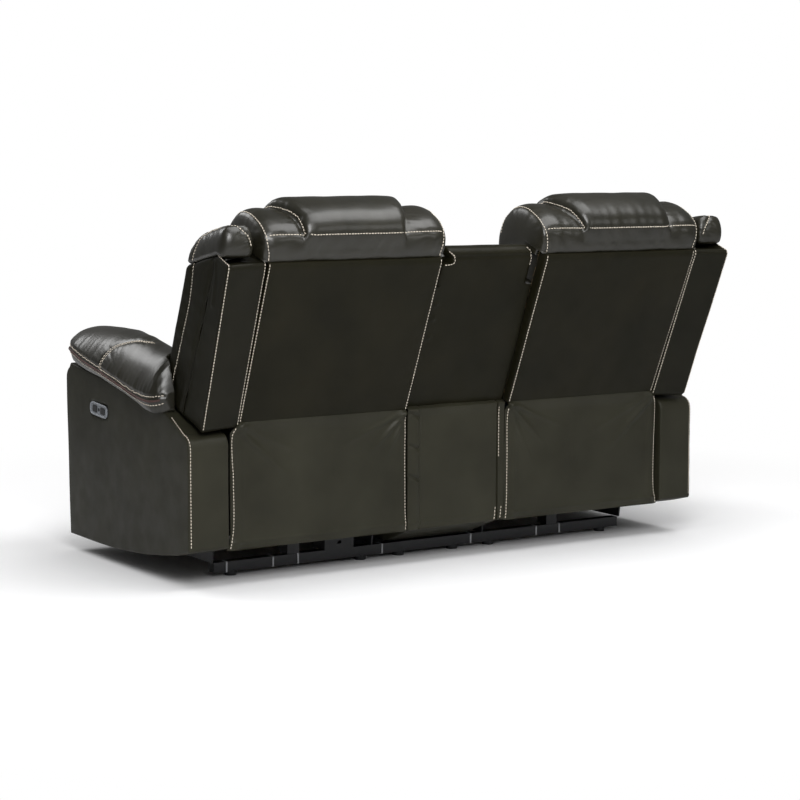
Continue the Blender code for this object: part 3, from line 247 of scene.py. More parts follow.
def stacked(x: Sequence, sections: Array) -> Array:
    """Rings that stand at the places X, each with its (y, z) section."""
    return np.array([np.column_stack((np.full(len(section), place), section))
                     for place, section in zip(x, sections)])


@dataclass
class Skin:
    """A closed surface kept as arrays until it becomes a mesh."""

    points: Array
    quads: Array
    ends: list[tuple[int, ...]] = field(default_factory=list)

    @classmethod
    def loft(cls, rings: Sequence, bulge: float = 0.0, cap_steps: int = 6) -> "Skin":
        """Skin a row of equal closed rings and close both ends with domed caps.

        Args:
            rings: Ring, point on the ring, coordinate.
            bulge: How far the caps stand out, in metres.
            cap_steps: Rings in each cap.

        Returns:
            The closed surface, facing outwards.
        """
        rings = np.asarray(rings)
        caps = []
        for edge, inner in (rings[:2], rings[:-3:-1]):
            middle = edge.mean(axis=0)
            out = middle - inner.mean(axis=0)
            out /= max(np.linalg.norm(out), TINY)
            turns = math.pi / 2 * np.arange(1, cap_steps + 1) / (cap_steps + 0.35)
            caps.append([middle + (edge - middle) * math.cos(turn)
                         + out * bulge * math.sin(turn) for turn in turns])
        grid = np.array([*caps[0][::-1], *rings, *caps[1]])
        count, around = grid.shape[:2]
        first, ring = np.arange(count - 1)[:, None] * around, np.arange(around)
        this, following = first + ring, first + (ring + 1) % around
        quads = np.stack((this, following, following + around, this + around), axis=-1)
        last = (count - 1) * around
        ends = [tuple(range(around))[::-1], tuple(range(last, last + around))]
        return cls(grid.reshape(-1, 3), quads.reshape(-1, 4), ends).facing_out()

    def corners(self) -> list[Array]:
        """The first, second, third and fourth points of the quads."""
        return [self.points[column] for column in self.quads.T]

    def facing_out(self) -> "Skin":
        """Turn the faces over where the volume comes out negative.

        Returns:
            This surface.
        """
        a, b, c, d = self.corners()
        if np.einsum("ij,ij->", a, np.cross(b, c) + np.cross(c, d)) < 0.0:
            self.quads = self.quads[:, ::-1]
            self.ends = [end[::-1] for end in self.ends]
        return self

    def normals(self) -> Array:
        """Average the faces round each point.

        Returns:
            Unit normals of the points.
        """
        a, b, c, d = self.corners()
        face = np.cross(c - a, d - b)
        total = np.zeros_like(self.points)
        for column in self.quads.T:
            np.add.at(total, column, face)
        return total / np.maximum(np.linalg.norm(total, axis=1), TINY_AREA)[:, None]

    def on(self, side: Side | None) -> "Skin":
        """Bring this left-hand surface to a side.

        Args:
            side: The side, none for the middle.

        Returns:
            This surface, or its mirror image for the right side.
        """
        if side is not Side.RIGHT:
            return self
        return Skin(self.points * (-1.0, 1.0, 1.0), self.quads[:, ::-1],
                    [end[::-1] for end in self.ends])

    def pushed(self, amounts: Array) -> "Skin":
        """Move each point along its normal."""
        self.points = self.points + self.normals() * amounts[:, None]
        return self

    def crumpled(self, height: float, size: Sequence, seed: float) -> "Skin":
        """Press soft random unevenness into the surface.

        Args:
            height: The largest rise in metres.
            size: The size of a dent along X, Y and Z, in metres.
            seed: Moves the pattern.

        Returns:
            This surface.
        """
        scaled = self.points / np.asarray(size) + seed
        return self.pushed(height * np.array([noise.noise(Vector(spot)) for spot in scaled]))

    def sewn(self, *seams: "Seam") -> "Skin":
        """Press seams into the surface, one after the other.

        Args:
            seams: The seams in order.

        Returns:
            This surface.
        """
        for seam in seams:
            seam.press(self)
        return self

    def piece(self, name: str, material: bpy.types.Material) -> bpy.types.Object:
        """Make the linked Blender object, shaded smooth.

        Args:
            name: The object's name.
            material: Its only material.

        Returns:
            The object.
        """
        mesh = bpy.data.meshes.new(name)
        mesh.from_pydata(self.points.tolist(), [], self.quads.tolist() + self.ends)
        mesh.shade_smooth()
        mesh.set_sharp_from_angle(angle=math.radians(50.0))
        mesh.materials.append(material)
        return linked(name, mesh)

    def nearest(self, spots: Array) -> tuple[Array, Array]:
        """Lay spots on the surface.

        Args:
            spots: Points close to the surface.

        Returns:
            The nearest places on the surface, and the normals there.
        """
        tree = BVHTree.FromPolygons(self.points.tolist(), self.quads.tolist())
        found = [tree.find_nearest(Vector(spot)) for spot in spots]
        return tuple(np.array([row[k] for row in found]) for k in (0, 1))


def linked(name: str, data: bpy.types.ID) -> bpy.types.Object:
    """Link a new object to the scene.

    Args:
        name: The object's name.
        data: Its mesh, lamp or camera.

    Returns:
        The object.
    """
    made = bpy.data.objects.new(name, data)
    bpy.context.scene.collection.objects.link(made)
    return made


def tube(path: Array, radius: Array | float, sides: int = 8) -> Skin:
    """Run a closed round tube along a path.

    Args:
        path: Points along its middle.
        radius: One radius, or one for each point.
        sides: Points round the tube.

    Returns:
        The tube's surface.
    """
    along = np.gradient(path, axis=0)
    along /= np.linalg.norm(along, axis=1)[:, None]
    across = np.cross(along[0], (0.31, 0.52, 0.79))     # any line that no path starts along
    turn = np.linspace(0.0, 2 * math.pi, sides, endpoint=False)[:, None]
    rings = []
    for spot, ahead, size in zip(path, along, np.broadcast_to(radius, len(path))):
        across = across - ahead * (across @ ahead)
        across /= np.linalg.norm(across)
        over = np.cross(ahead, across)
        rings.append(spot + size * (np.cos(turn) * across + np.sin(turn) * over))
    return Skin.loft(rings, 0.0, 1)


@dataclass(frozen=True)
class Seam:
    """A sewn line pressed into leather, and the gathers that it pulls.

    Attributes:
        path: Points along the seam.
        depth: How deep the leather is pulled in at the seam.
        width: How wide the groove is.
        gather: Height of the gathers beside it.
        reach: How far the gathers run out.
        pitch: Their usual spacing.
        seed: Changes the gathers.
        where: Gives each point a share of the gathers, 0 to leave it flat.
    """

    path: Array
    depth: float = 0.002
    width: float = 0.006
    gather: float = 0.0
    reach: float = 0.04
    pitch: float = 0.022
    seed: int = 1
    where: Callable[[Array], Array] | None = None

    def press(self, skin: Skin, step: float = 0.003, batch: int = 4000) -> None:
        """Press this seam into a surface.

        Args:
            skin: The surface.
            step: The spacing along the seam at which distances are measured.
            batch: How many points are measured at once.
        """
        length = measured(self.path)[-1]
        line = resample(self.path, max(4, int(length / step)))
        low, high = line.min(axis=0) - 3 * self.reach, line.max(axis=0) + 3 * self.reach
        close = np.flatnonzero(((skin.points > low) & (skin.points < high)).all(axis=1))
        spots = skin.points[close]
        parts = [np.linalg.norm(spots[start:start + batch, None] - line, axis=2)
                 for start in range(0, len(close), batch)]
        far = np.concatenate([gaps.min(axis=1) for gaps in parts])
        along = np.concatenate([gaps.argmin(axis=1) for gaps in parts]) * length / (len(line) - 1)
        groove = bell(far, self.width)
        press = -self.depth * groove
        if self.gather:
            draw = np.random.default_rng(self.seed)
            ripple = np.zeros(len(close))
            for share in (0.62, 1.0, 1.55, 2.3):
                phase, sway = draw.uniform(0, 2 * math.pi, 2)
                wander = 0.35 * np.sin(far / self.reach * 2.0 + sway)
                ripple += np.sin(2 * math.pi * along / (self.pitch * share) + phase + wander)
            fade = bell(far, self.reach, 1.3) * (1 - groove)
            kept = 1.0 if self.where is None else self.where(spots)
            press = press + self.gather * 0.5 * ripple * fade * kept
        amount = np.zeros(len(skin.points))
        amount[close] = press
        skin.pushed(amount)


def quilting(guides: Sequence, seed: int, *sizes: float, count: int = 60) -> list[Seam]:
    """Deep seams along guides, whose gathers differ by their seed."""
    return [Seam(smooth_path(guide, count), *sizes, seed + number)
            for number, guide in enumerate(guides)]


@dataclass
class Sewing:
    """The visible thread of one body's seams, made as one piece.

    Attributes:
        name: The piece's name.
        radius: Half the thread's width, drawn as coarse as it needs to show.
        pitch: Length of a stitch with its gap.
        gap: The bare leather between two stitches.
        profile: A stitch's rings: the place along it, the size, and the lift.
    """

    name: str
    radius: float = 0.0014
    pitch: float = 0.0092
    gap: float = 0.0022
    sides: int = 6
    profile: tuple = ((0.0, 0.35, -0.5), (0.14, 0.95, 0.35), (0.5, 1.0, 0.6),
                      (0.86, 0.95, 0.35), (1.0, 0.35, -0.5))
    points: list = field(default_factory=list)
    quads: list = field(default_factory=list)
    ends: list = field(default_factory=list)

    def run(self, skin: Skin, guide: Sequence, step: float = 0.004) -> None:
        """Sew a run of stitches.

        Args:
            skin: The surface that is sewn.
            guide: Points close to the surface.
            step: The spacing at which the run is laid on the surface.
        """
        line = np.asarray(guide, float)
        if len(line) > 2:
            line = smooth_path(line, 60)
        line = resample(line, max(3, int(measured(line)[-1] / step)))
        self.lay(*skin.nearest(line))

    def lay(self, laid: Array, up: Array) -> None:
        """Lay stitches along a path on a surface.

        Args:
            laid: Points along the path.
            up: The surface's normals there.
        """
        along = measured(laid)
        count = max(1, round(along[-1] / self.pitch))
        pitch = along[-1] / count
        turn = np.linspace(0.0, 2 * math.pi, self.sides, endpoint=False)[None, :, None]
        rings = []
        for share, size, lift in self.profile:
            spots = np.arange(count) * pitch + self.gap / 2 + share * (pitch - self.gap)
            normal = looked_up(spots, along, up)
            normal /= np.linalg.norm(normal, axis=1)[:, None]
            ahead = (looked_up(spots + MILLIMETRE, along, laid)
                     - looked_up(spots - MILLIMETRE, along, laid))
            across = np.cross(ahead, normal)
            across /= np.maximum(np.linalg.norm(across, axis=1), TINY)[:, None]
            centre = looked_up(spots, along, laid) + normal * self.radius * lift
            rings.append(centre[:, None] + self.radius * size * (
                np.cos(turn) * across[:, None] + 0.8 * np.sin(turn) * normal[:, None]))
        first = sum(len(part) for part in self.points)
        self.points.append(np.stack(rings, axis=1).reshape(-1, 3))
        base = np.arange(count)[:, None] * len(self.profile) * self.sides + first
        for start in range(0, (len(self.profile) - 1) * self.sides, self.sides):
            for k in range(self.sides):
                a, b = start + k, start + (k + 1) % self.sides
                self.quads.append(base + (a, b, b + self.sides, a + self.sides))
        last = (len(self.profile) - 1) * self.sides
        for spot in base[:, 0]:
            self.ends.append(tuple(range(spot, spot + self.sides))[::-1])
            self.ends.append(tuple(range(spot + last, spot + last + self.sides)))

    def finish(self, material: bpy.types.Material) -> bpy.types.Object:
        """Make the thread's object of a material."""
        skin = Skin(np.vstack(self.points), np.vstack(self.quads), self.ends)
        return skin.piece(self.name, material)


def ridden(made: bpy.types.Object, slot: Slot, body: str) -> bpy.types.Object:
    """Let a piece ride on its body, and log it.

    Args:
        made: The piece.
        slot: The record's material slot; not used.
        body: The body it rides on.

    Returns:
        The piece.
    """
    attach(made, body)
    log.info("%s on %s: %d faces", made.name, body, len(made.data.polygons))
    return made


# ---------------------------------------------------------------- finishes


def linear(hex_colour: str) -> tuple[float, float, float, float]:
    """Turn an sRGB hex colour into linear RGBA.

    Args:
        hex_colour: The colour as #rrggbb.

    Returns:
        Its linear red, green, blue and alpha.
    """
    values = [int(hex_colour[k:k + 2], 16) / 255 for k in (1, 3, 5)]
    made = [v / 12.92 if v <= 0.04045 else ((v + 0.055) / 1.055) ** 2.4 for v in values]
    return (*made, 1.0)


def add_node(tree: bpy.types.NodeTree, kind: str, settings: dict | None = None,
             links: dict | None = None) -> bpy.types.Node:
    """Add a shader node with its settings and links.

    Args:
        tree: The material's node tree.
        kind: The node's type name, after "ShaderNode".
        settings: Values by input name or number, or by property name.
        links: Sockets to link from, by input name or number.

    Returns:
        The node.
    """
    node = tree.nodes.new("ShaderNode" + kind)
    for key, value in (settings or {}).items():
        if isinstance(key, int) or key in node.inputs:
            node.inputs[key].default_value = value
        else:
            setattr(node, key, value)
    for key, source in (links or {}).items():
        tree.links.new(source, node.inputs[key])
    return node


def adder(owner: bpy.types.Material | bpy.types.World) -> Callable[..., bpy.types.Node]:
    """Empty a node tree.

    Args:
        owner: The material or world that has the tree.

    Returns:
        What adds a node to the tree.
    """
    owner.use_nodes = True
    owner.node_tree.nodes.clear()
    return partial(add_node, owner.node_tree)


@dataclass(frozen=True)
class Finish:
    """What every finish has: its name, the two tones it drifts between, and its roughness."""

    name: str
    dark: str
    light: str
    roughness: float

    def make(self) -> bpy.types.Material:
        """Build the material.

        Returns:
            The material.
        """
        made = bpy.data.materials.new(self.name)
        add = adder(made)
        settings, links = self.mixed(add, {"Vector": add("TexCoord").outputs["Object"]})
        shader = add("BsdfPrincipled", settings, links)
        add("OutputMaterial", None, {"Surface": shader.outputs[0]})
        return made

    def tones(self, add: Callable, share: bpy.types.NodeSocket) -> bpy.types.NodeSocket:
        """The dark tone and the light one, mixed by a share."""
        return add("Mix", {"data_type": "RGBA", 6: linear(self.dark), 7: linear(self.light)},
                   {0: share}).outputs[2]


@dataclass(frozen=True)
class BondedLeather(Finish):
    """Bonded leather: embossed polyurethane on a fibre backing.

    The grain is rolled in with a heated drum, so it is shallow and even, and the satin
    top coat gives broad, soft highlights that break up over the grain.
    """

    grain_mm: float = 3.0      # the real grain is about 1 mm: drawn coarser to show
    dent_mm: float = 55.0
    mottle_mm: float = 160.0
    grain_depth_mm: float = 0.16
    dent_depth_mm: float = 1.6
    sheen_level: float = 0.35  # the Specular IOR Level: lower where the coat is thin and dull
    coat: float = 0.12

    def mixed(self, add: Callable, place: dict) -> tuple[dict, dict]:
        """Mix the colour, gloss and relief.

        Args:
            add: Adds a node.
            place: The link to the piece's own coordinates.

        Returns:
            The shader's settings and its links.
        """
        grain = add("TexVoronoi", {"feature": "DISTANCE_TO_EDGE", "Scale": 1000 / self.grain_mm},
                    place)
        pores = add("TexNoise", {"Scale": 2500 / self.grain_mm, "Detail": 3.0}, place)
        dents = add("TexNoise", {"Scale": 1000 / self.dent_mm, "Detail": 2.0,
                                 "Roughness": 0.45}, place)
        mottle = add("TexNoise", {"Scale": 1000 / self.mottle_mm, "Detail": 3.0}, place)
        edge = add("NewGeometry").outputs["Pointiness"]
        worn = add("MapRange", {"From Min": 0.52, "From Max": 0.62, "To Min": 0.0,
                                "To Max": 0.5}, {"Value": edge})
        tone = add("MapRange", {"From Min": 0.3, "From Max": 0.7},
                   {"Value": mottle.outputs["Fac"]})
        rubbed = add("Mix", {"data_type": "RGBA", 7: linear(self.light)},
                     {0: worn.outputs["Result"], 6: self.tones(add, tone.outputs["Result"])})
        gloss = add("MapRange", {"From Min": 0.3, "From Max": 0.7,
                                 "To Min": self.roughness - 0.05,
                                 "To Max": self.roughness + 0.06},
                    {"Value": dents.outputs["Fac"]})
        relief = add("Math", {"operation": "MULTIPLY_ADD", 1: 0.35},
                     {0: pores.outputs["Fac"], 2: grain.outputs["Distance"]})
        embossed = add("Bump", {"Strength": 0.5, "Distance": self.grain_depth_mm * MILLIMETRE},
                       {"Height": relief.outputs[0]})
        uneven = add("Bump", {"Strength": 0.5, "Distance": self.dent_depth_mm * MILLIMETRE},
                     {"Height": dents.outputs["Fac"], "Normal": embossed.outputs["Normal"]})
        return ({"IOR": 1.5, "Specular IOR Level": self.sheen_level,
                 "Coat Weight": self.coat, "Coat Roughness": 0.27},
                {"Base Color": rubbed.outputs[2], "Roughness": gloss.outputs["Result"],
                 "Normal": uneven.outputs["Normal"]})


@dataclass(frozen=True)
class Speckled(Finish):
    """A finish with fine speckle in colour, gloss and relief.

    It serves powder-coated and zinc-plated steel, moulded plastic, nylon, felt, thread
    and the welt: the speckle's size and depth tell them apart.
    """

    speck_mm: float
    speck_depth_mm: float
    metallic: float = 0.0
    gloss_spread: float = 0.08

    def mixed(self, add: Callable, place: dict) -> tuple[dict, dict]:
        """Mix the colour, gloss and relief.

        Args:
            add: Adds a node.
            place: The link to the piece's own coordinates.

        Returns:
            The shader's settings and its links.
        """
        speck = add("TexNoise", {"Scale": 1000 / self.speck_mm, "Detail": 3.0}, place)
        patch = add("TexNoise", {"Scale": 60 / self.speck_mm, "Detail": 4.0}, place)
        gloss = add("MapRange", {"To Min": self.roughness - self.gloss_spread,
                                 "To Max": self.roughness + self.gloss_spread},
                    {"Value": patch.outputs["Fac"]})
        relief = add("Bump", {"Strength": 0.6, "Distance": self.speck_depth_mm * MILLIMETRE},
                     {"Height": speck.outputs["Fac"]})
        return ({"Metallic": self.metallic} if self.metallic else {"IOR": 1.5},
                {"Base Color": self.tones(add, patch.outputs["Fac"]),
                 "Roughness": gloss.outputs["Result"], "Normal": relief.outputs["Normal"]})


@dataclass(frozen=True)
class PoplarPlywood(Finish):
    """Rotary-cut poplar plywood, left raw: broad pale figure along the board."""

    band_mm: float = 14.0

    def mixed(self, add: Callable, place: dict) -> tuple[dict, dict]:
        """Mix the colour, gloss and relief.

        Args:
            add: Adds a node.
            place: The link to the piece's own coordinates.

        Returns:
            The shader's settings and its links.
        """
        figure = add("TexWave", {"Scale": 500 / self.band_mm, "Distortion": 9.0, "Detail": 3.0,
                                 "bands_direction": "Y"}, place)
        fibre = add("TexNoise", {"Scale": 900.0, "Detail": 2.0}, place)
        relief = add("Bump", {"Strength": 0.4, "Distance": MILLIMETRE / 10},
                     {"Height": fibre.outputs["Fac"]})
        return ({"Roughness": self.roughness, "IOR": 1.5},
                {"Base Color": self.tones(add, figure.outputs["Fac"]),
                 "Normal": relief.outputs["Normal"]})


# One leather throughout: the copies below differ in tone as painted light and painted shade
FINISHES = {
    # Stretched over boards: flat and even, with a low satin sheen; a lighter tone, as painted
    # light
    "side": BondedLeather("bonded_leather_stretched", "#28271d", "#323126", 0.46,
                          dent_depth_mm=0.7, sheen_level=0.20, coat=0.03),
    # On the outside backs: the flattest, and a dark tone as painted shade on faces turned down
    "rear": BondedLeather("bonded_leather_outside_back", "#17160b", "#1f1d11", 0.46,
                          dent_depth_mm=0.5, sheen_level=0.13, coat=0.01),
    # On the wings: a slightly smoother coat, and a tone darker still as painted shade
    "wing": BondedLeather("bonded_leather_wing", "#16150c", "#1d1c12", 0.43,
                          dent_depth_mm=0.8, sheen_level=0.12, coat=0.04),
    # Over padding the coat is polished by handling, so its highlights are stronger
    "soft": BondedLeather("bonded_leather_padded", "#1a1910", "#26241a", 0.40,
                          sheen_level=0.34, coat=0.58),
    # The bin's lining is a brushed non-woven, which is matt
    "lining": Speckled("polypropylene_felt_needled", "#131312", "#1d1c1b", 0.9, 1.5, 0.3),
    # Bonded polyester thread, twisted: pale and slightly fuzzy
    "thread": Speckled("polyester_thread_twisted", "#c6bba9", "#e4dacb", 0.6, 1.2, 0.3),
    # Red-brown cord welt, wrapped and drawn into ribs
    "welt": Speckled("leather_welt_ribbed", "#2c1c19", "#583832", 0.5, 3.0, 0.2),
    # Powder coat melts into a faint orange peel with a satin shine
    "steel": Speckled("steel_powder_coated_black", "#0d0e11", "#15171b", 0.36, 2.5, 0.05),
    # Zinc plate shows bright, slightly cloudy patches
    "zinc": Speckled("steel_zinc_plated", "#a9abad", "#c6c7c8", 0.30, 3.0, 0.02, 1.0),
    # Spark-eroded mould texture keeps the ABS satin
    "plastic": Speckled("abs_moulded_black", "#121314", "#1a1b1d", 0.42, 0.8, 0.04),
    # Painted ABS: a metallic lacquer over the moulding
    "silver": Speckled("abs_lacquered_silver", "#8d9198", "#a4a8ae", 0.34, 0.6, 0.01, 0.4),
    # The switch plate's face is plain moulded ABS
    "face": Speckled("abs_moulded_grey", "#7b7f84", "#8d9196", 0.42, 0.8, 0.03),
    # Natural nylon is translucent white and waxy
    "nylon": Speckled("nylon_tie_natural", "#b4b7bb", "#d2d4d6", 0.4, 1.0, 0.02),
    # Bare wood is matt, with its figure in the colour
    "board": PoplarPlywood("poplar_plywood_raw", "#b79a6c", "#8e6f45", 0.75),
}


# ---------------------------------------------------------------- upholstery


def between(ends: Sequence, share: Array | float) -> Array | float:
    """The place at a share of the way between two ends."""
    return ends[0] + (ends[1] - ends[0]) * share


@dataclass(frozen=True)
class Stuffed:
    """A stuffed form: one closed section drawn across, which shrinks towards both ends.

    Attributes:
        section: The section's points, as shares of depth and height.
        around: Points round the section.
        along: Sections from end to end.
        crowding: How strongly they crowd towards the ends.
        ends: The size by the distance from the nearer end, both as shares.
        span: Where across is 0 and 1.
        depth: Where depth is 0 and 1.
        height: Where height is 0 and 1.
        still: The depth and the height about which the section shrinks.
        least: The least depth and height that the section's curve may reach.
        most: The largest ones.
    """

    section: tuple
    around: int
    along: int
    crowding: float
    ends: tuple
    span: tuple
    depth: tuple
    height: tuple
    still: tuple
    least: tuple = (-math.inf, -math.inf)
    most: tuple = (math.inf, math.inf)

    def rings(self, sizes: Callable[[Array, Array, Array], tuple]) -> Array:
        """Draw the sections.

        Args:
            sizes: Gives the sizes of depth and height from the section's points, the
                places across and the size at each place.

        Returns:
            Ring, point on the ring, coordinate.
        """
        curve = smooth_path(self.section, self.around, closed=True)
        outline = np.clip(curve, self.least, self.most)
        across = graded(self.along, self.crowding)[:, None]
        grown = sizes(outline, across, shares(self.ends, np.minimum(across, 1 - across)))
        depth, rise = (about + (outline[:, k] - about) * size
                       for k, (about, size) in enumerate(zip(self.still, grown)))
        return np.stack(np.broadcast_arrays(
            between(self.span, across), between(self.depth, depth),
            between(self.height, rise)), axis=-1)

    def panel(self, border: float) -> tuple[float, float]:
        """Both edges of the panel between two borders."""
        return self.span[0] + border, self.span[1] - border


@dataclass
class Upholstery:
    """What every upholstered piece shares, and how it is dressed.

    Attributes:
        finishes: The loveseat's materials by their keys.
        sewing: The thread of its seams.
        side: The side it is on, none for a piece in the middle.
    """

    finishes: dict[str, bpy.types.Material]
    sewing: Sewing
    side: Side | None = None

    def named(self, name: str) -> str:
        """A name with its side, or the name alone in the middle."""
        return f"{self.side.label}_{name}" if self.side else name

    def dress(self, skin: Skin, name: str, slot: Slot, body: str, replaced: str = "",
              fill: float | None = None, finish: str = "") -> bpy.types.Object:
        """Make a piece on this side and let it ride on its body.

        Args:
            skin: The left-hand shape.
            name: The piece's name without its side.
            slot: The record's material slot.
            body: The body it rides on.
            replaced: The CAD node that it stands for, without its side.
            fill: How tightly it is stuffed, for a padded piece; not used.
            finish: Its finish where that isn't the slot's.

        Returns:
            The piece.
        """
        material = self.finishes[finish or slot.name.lower()]
        made = skin.on(self.side).piece(self.named(name), material)
        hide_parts(*([self.named(replaced)] if replaced else []))
        return ridden(made, slot, body)

    def sew(self, skin: Skin, guides: Sequence) -> None:
        """Sew seams on this side.

        Args:
            skin: The left-hand shape.
            guides: Points of the left-hand seams.
        """
        flip = -1.0 if self.side is Side.RIGHT else 1.0
        here = skin.on(self.side)
        for guide in guides:
            self.sewing.run(here, np.asarray(guide, float) * (flip, 1.0, 1.0))


@dataclass
class SeatCushion(Upholstery):
    """The seat: a waterfall front, a crown, and side bolsters sewn to the middle panel."""

    form: Stuffed = Stuffed(
        ((0.20, 0.0), (0.03, 0.03), (0.0, 0.25), (0.0, 0.50), (0.02, 0.74), (0.08, 0.92),
         (0.18, 1.0), (0.34, 1.0), (0.52, 0.96), (0.72, 0.92), (0.90, 0.89), (0.985, 0.82),
         (1.0, 0.60), (1.0, 0.12), (0.97, 0.0), (0.60, 0.0)), 130, 110, 0.45,
        ((0, 0.92), (0.008, 0.96), (0.03, 0.985), (0.1, 0.997), (0.3, 1.0)),
        (0.165, 0.765), (-0.4975, 0.068), (0.3353, 0.500), (0.5, 0.0))
    crown: float = 0.05
    bolster: float = 0.085
    cross_y: float = -0.40

    def build(self) -> None:
        """Build the cushion and sew its panels."""
        skin = Skin.loft(self.form.rings(lambda outline, across, size: (
            size, size * (1 - self.crown * (2 * across - 1) ** 2))), 0.006)
        (front, rear), top = self.form.depth, self.form.height[1]
        panel = self.form.panel(self.bolster)
        guides = [[(x, front - 0.002, 0.40), (x, front + 0.01, 0.46), (x, front + 0.06, top),
                   (x, -0.25, top), (x, rear - 0.01, top)] for x in panel]
        guides.append([(x, self.cross_y, top) for x in np.linspace(*panel, 5)])
        skin.sewn(*quilting(guides, 3, 0.007, 0.010, 0.0035, 0.05, 0.03))
        skin.crumpled(0.004, (0.16, 0.2, 0.1), 3.1)
        self.sew(skin, guides)
        self.dress(skin, "seat_pillow", Slot.SOFT, "base", "seat_cushion", 0.8)


@dataclass
class FootrestPad(Upholstery):
    """The pad on the footrest board: crowned ahead, with a sewn panel line."""

    form: Stuffed = Stuffed(
        ((0.0, 0.03), (0.45, 0.0), (0.80, 0.06), (0.96, 0.20), (1.0, 0.50),
         (0.96, 0.80), (0.80, 0.94), (0.45, 1.0), (0.0, 0.97), (0.0, 0.5)), 90, 90, 0.5,
        ((0, 0.80), (0.012, 0.90), (0.05, 0.965), (0.14, 0.99), (0.5, 1.0)),
        (0.165, 0.765), (-0.4228, -0.5075), (0.060, 0.330), (0.0, 0.5), (0.0, -math.inf))
    border: float = 0.085
    cross_z: float = 0.24

    def build(self) -> None:
        """Build the pad and sew its panels."""
        skin = Skin.loft(self.form.rings(lambda outline, across, size: (size, size)), 0.004)
        front, panel = self.form.depth[1], self.form.panel(self.border)
        guides = [[(x, front + 0.03, 0.07), (x, front, 0.12), (x, front, 0.20),
                   (x, front, 0.27), (x, front + 0.03, 0.322)] for x in panel]
        guides.append([(x, front, self.cross_z) for x in np.linspace(*panel, 5)])
        skin.sewn(*quilting(guides, 11, 0.006, 0.009, 0.003, 0.04, 0.028))
        skin.crumpled(0.003, (0.15, 0.1, 0.12), 7.7)
        self.sew(skin, guides)
        self.dress(skin, "footrest_pillow", Slot.SOFT, self.named("footrest"), "footrest_pad", 0.8)


@dataclass
class BackCushion(Upholstery):
    """The inside back: three sewn channels across, between two upright bolsters."""

    form: Stuffed = Stuffed(
        ((0.0, 0.19), (0.28, 0.035), (0.55, 0.03), (0.82, 0.08), (0.97, 0.18), (0.98, 0.27),
         (0.87, 0.345), (0.96, 0.42), (0.97, 0.52), (0.93, 0.61), (0.83, 0.665),
         (0.90, 0.74), (0.90, 0.86), (0.80, 0.96), (0.60, 0.995), (0.3, 1.0), (0.0, 1.0),
         (0.0, 0.6)), 130, 100, 0.5,
        ((0, 0.88), (0.012, 0.94), (0.05, 0.98), (0.2, 1.0)),
        (0.178, 0.738), (-0.0083, -0.205), (-0.030, 0.415), (0.0, 0.5),
        (0.0, -math.inf), (math.inf, 1.0))
    bolster: float = 0.08
    channels: tuple = ((0.345, 0.87), (0.665, 0.83))      # shares of height and depth

    def build(self) -> None:
        """Build the cushion and sew its channels."""
        # At the board it keeps its full height, so that no board shows
        skin = Skin.loft(from_back(self.form.rings(lambda outline, across, size: (
            size, size + (1 - size) * np.clip(1 - 2.5 * outline[:, 0], 0, 1)))), 0.005)
        panel = self.form.panel(self.bolster)
        guides = [[(x, between(self.form.depth, out), between(self.form.height, level))
                   for x in np.linspace(*panel, 6)] for level, out in self.channels]
        guides += [[(x, -0.19, 0.0), (x, -0.20, 0.06), (x, -0.20, 0.16), (x, -0.19, 0.25),
                    (x, -0.18, 0.34), (x, -0.15, 0.41)] for x in panel]
        guides = [from_back(guide) for guide in guides]
        skin.sewn(*quilting(guides, 21, 0.007, 0.009, 0.0035, 0.05, 0.026))
        skin.crumpled(0.003, (0.14, 0.14, 0.14), 5.3)
        self.sew(skin, guides)
        self.dress(skin, "back_pillow", Slot.SOFT, self.named("back"), "back_cushion", 0.8)


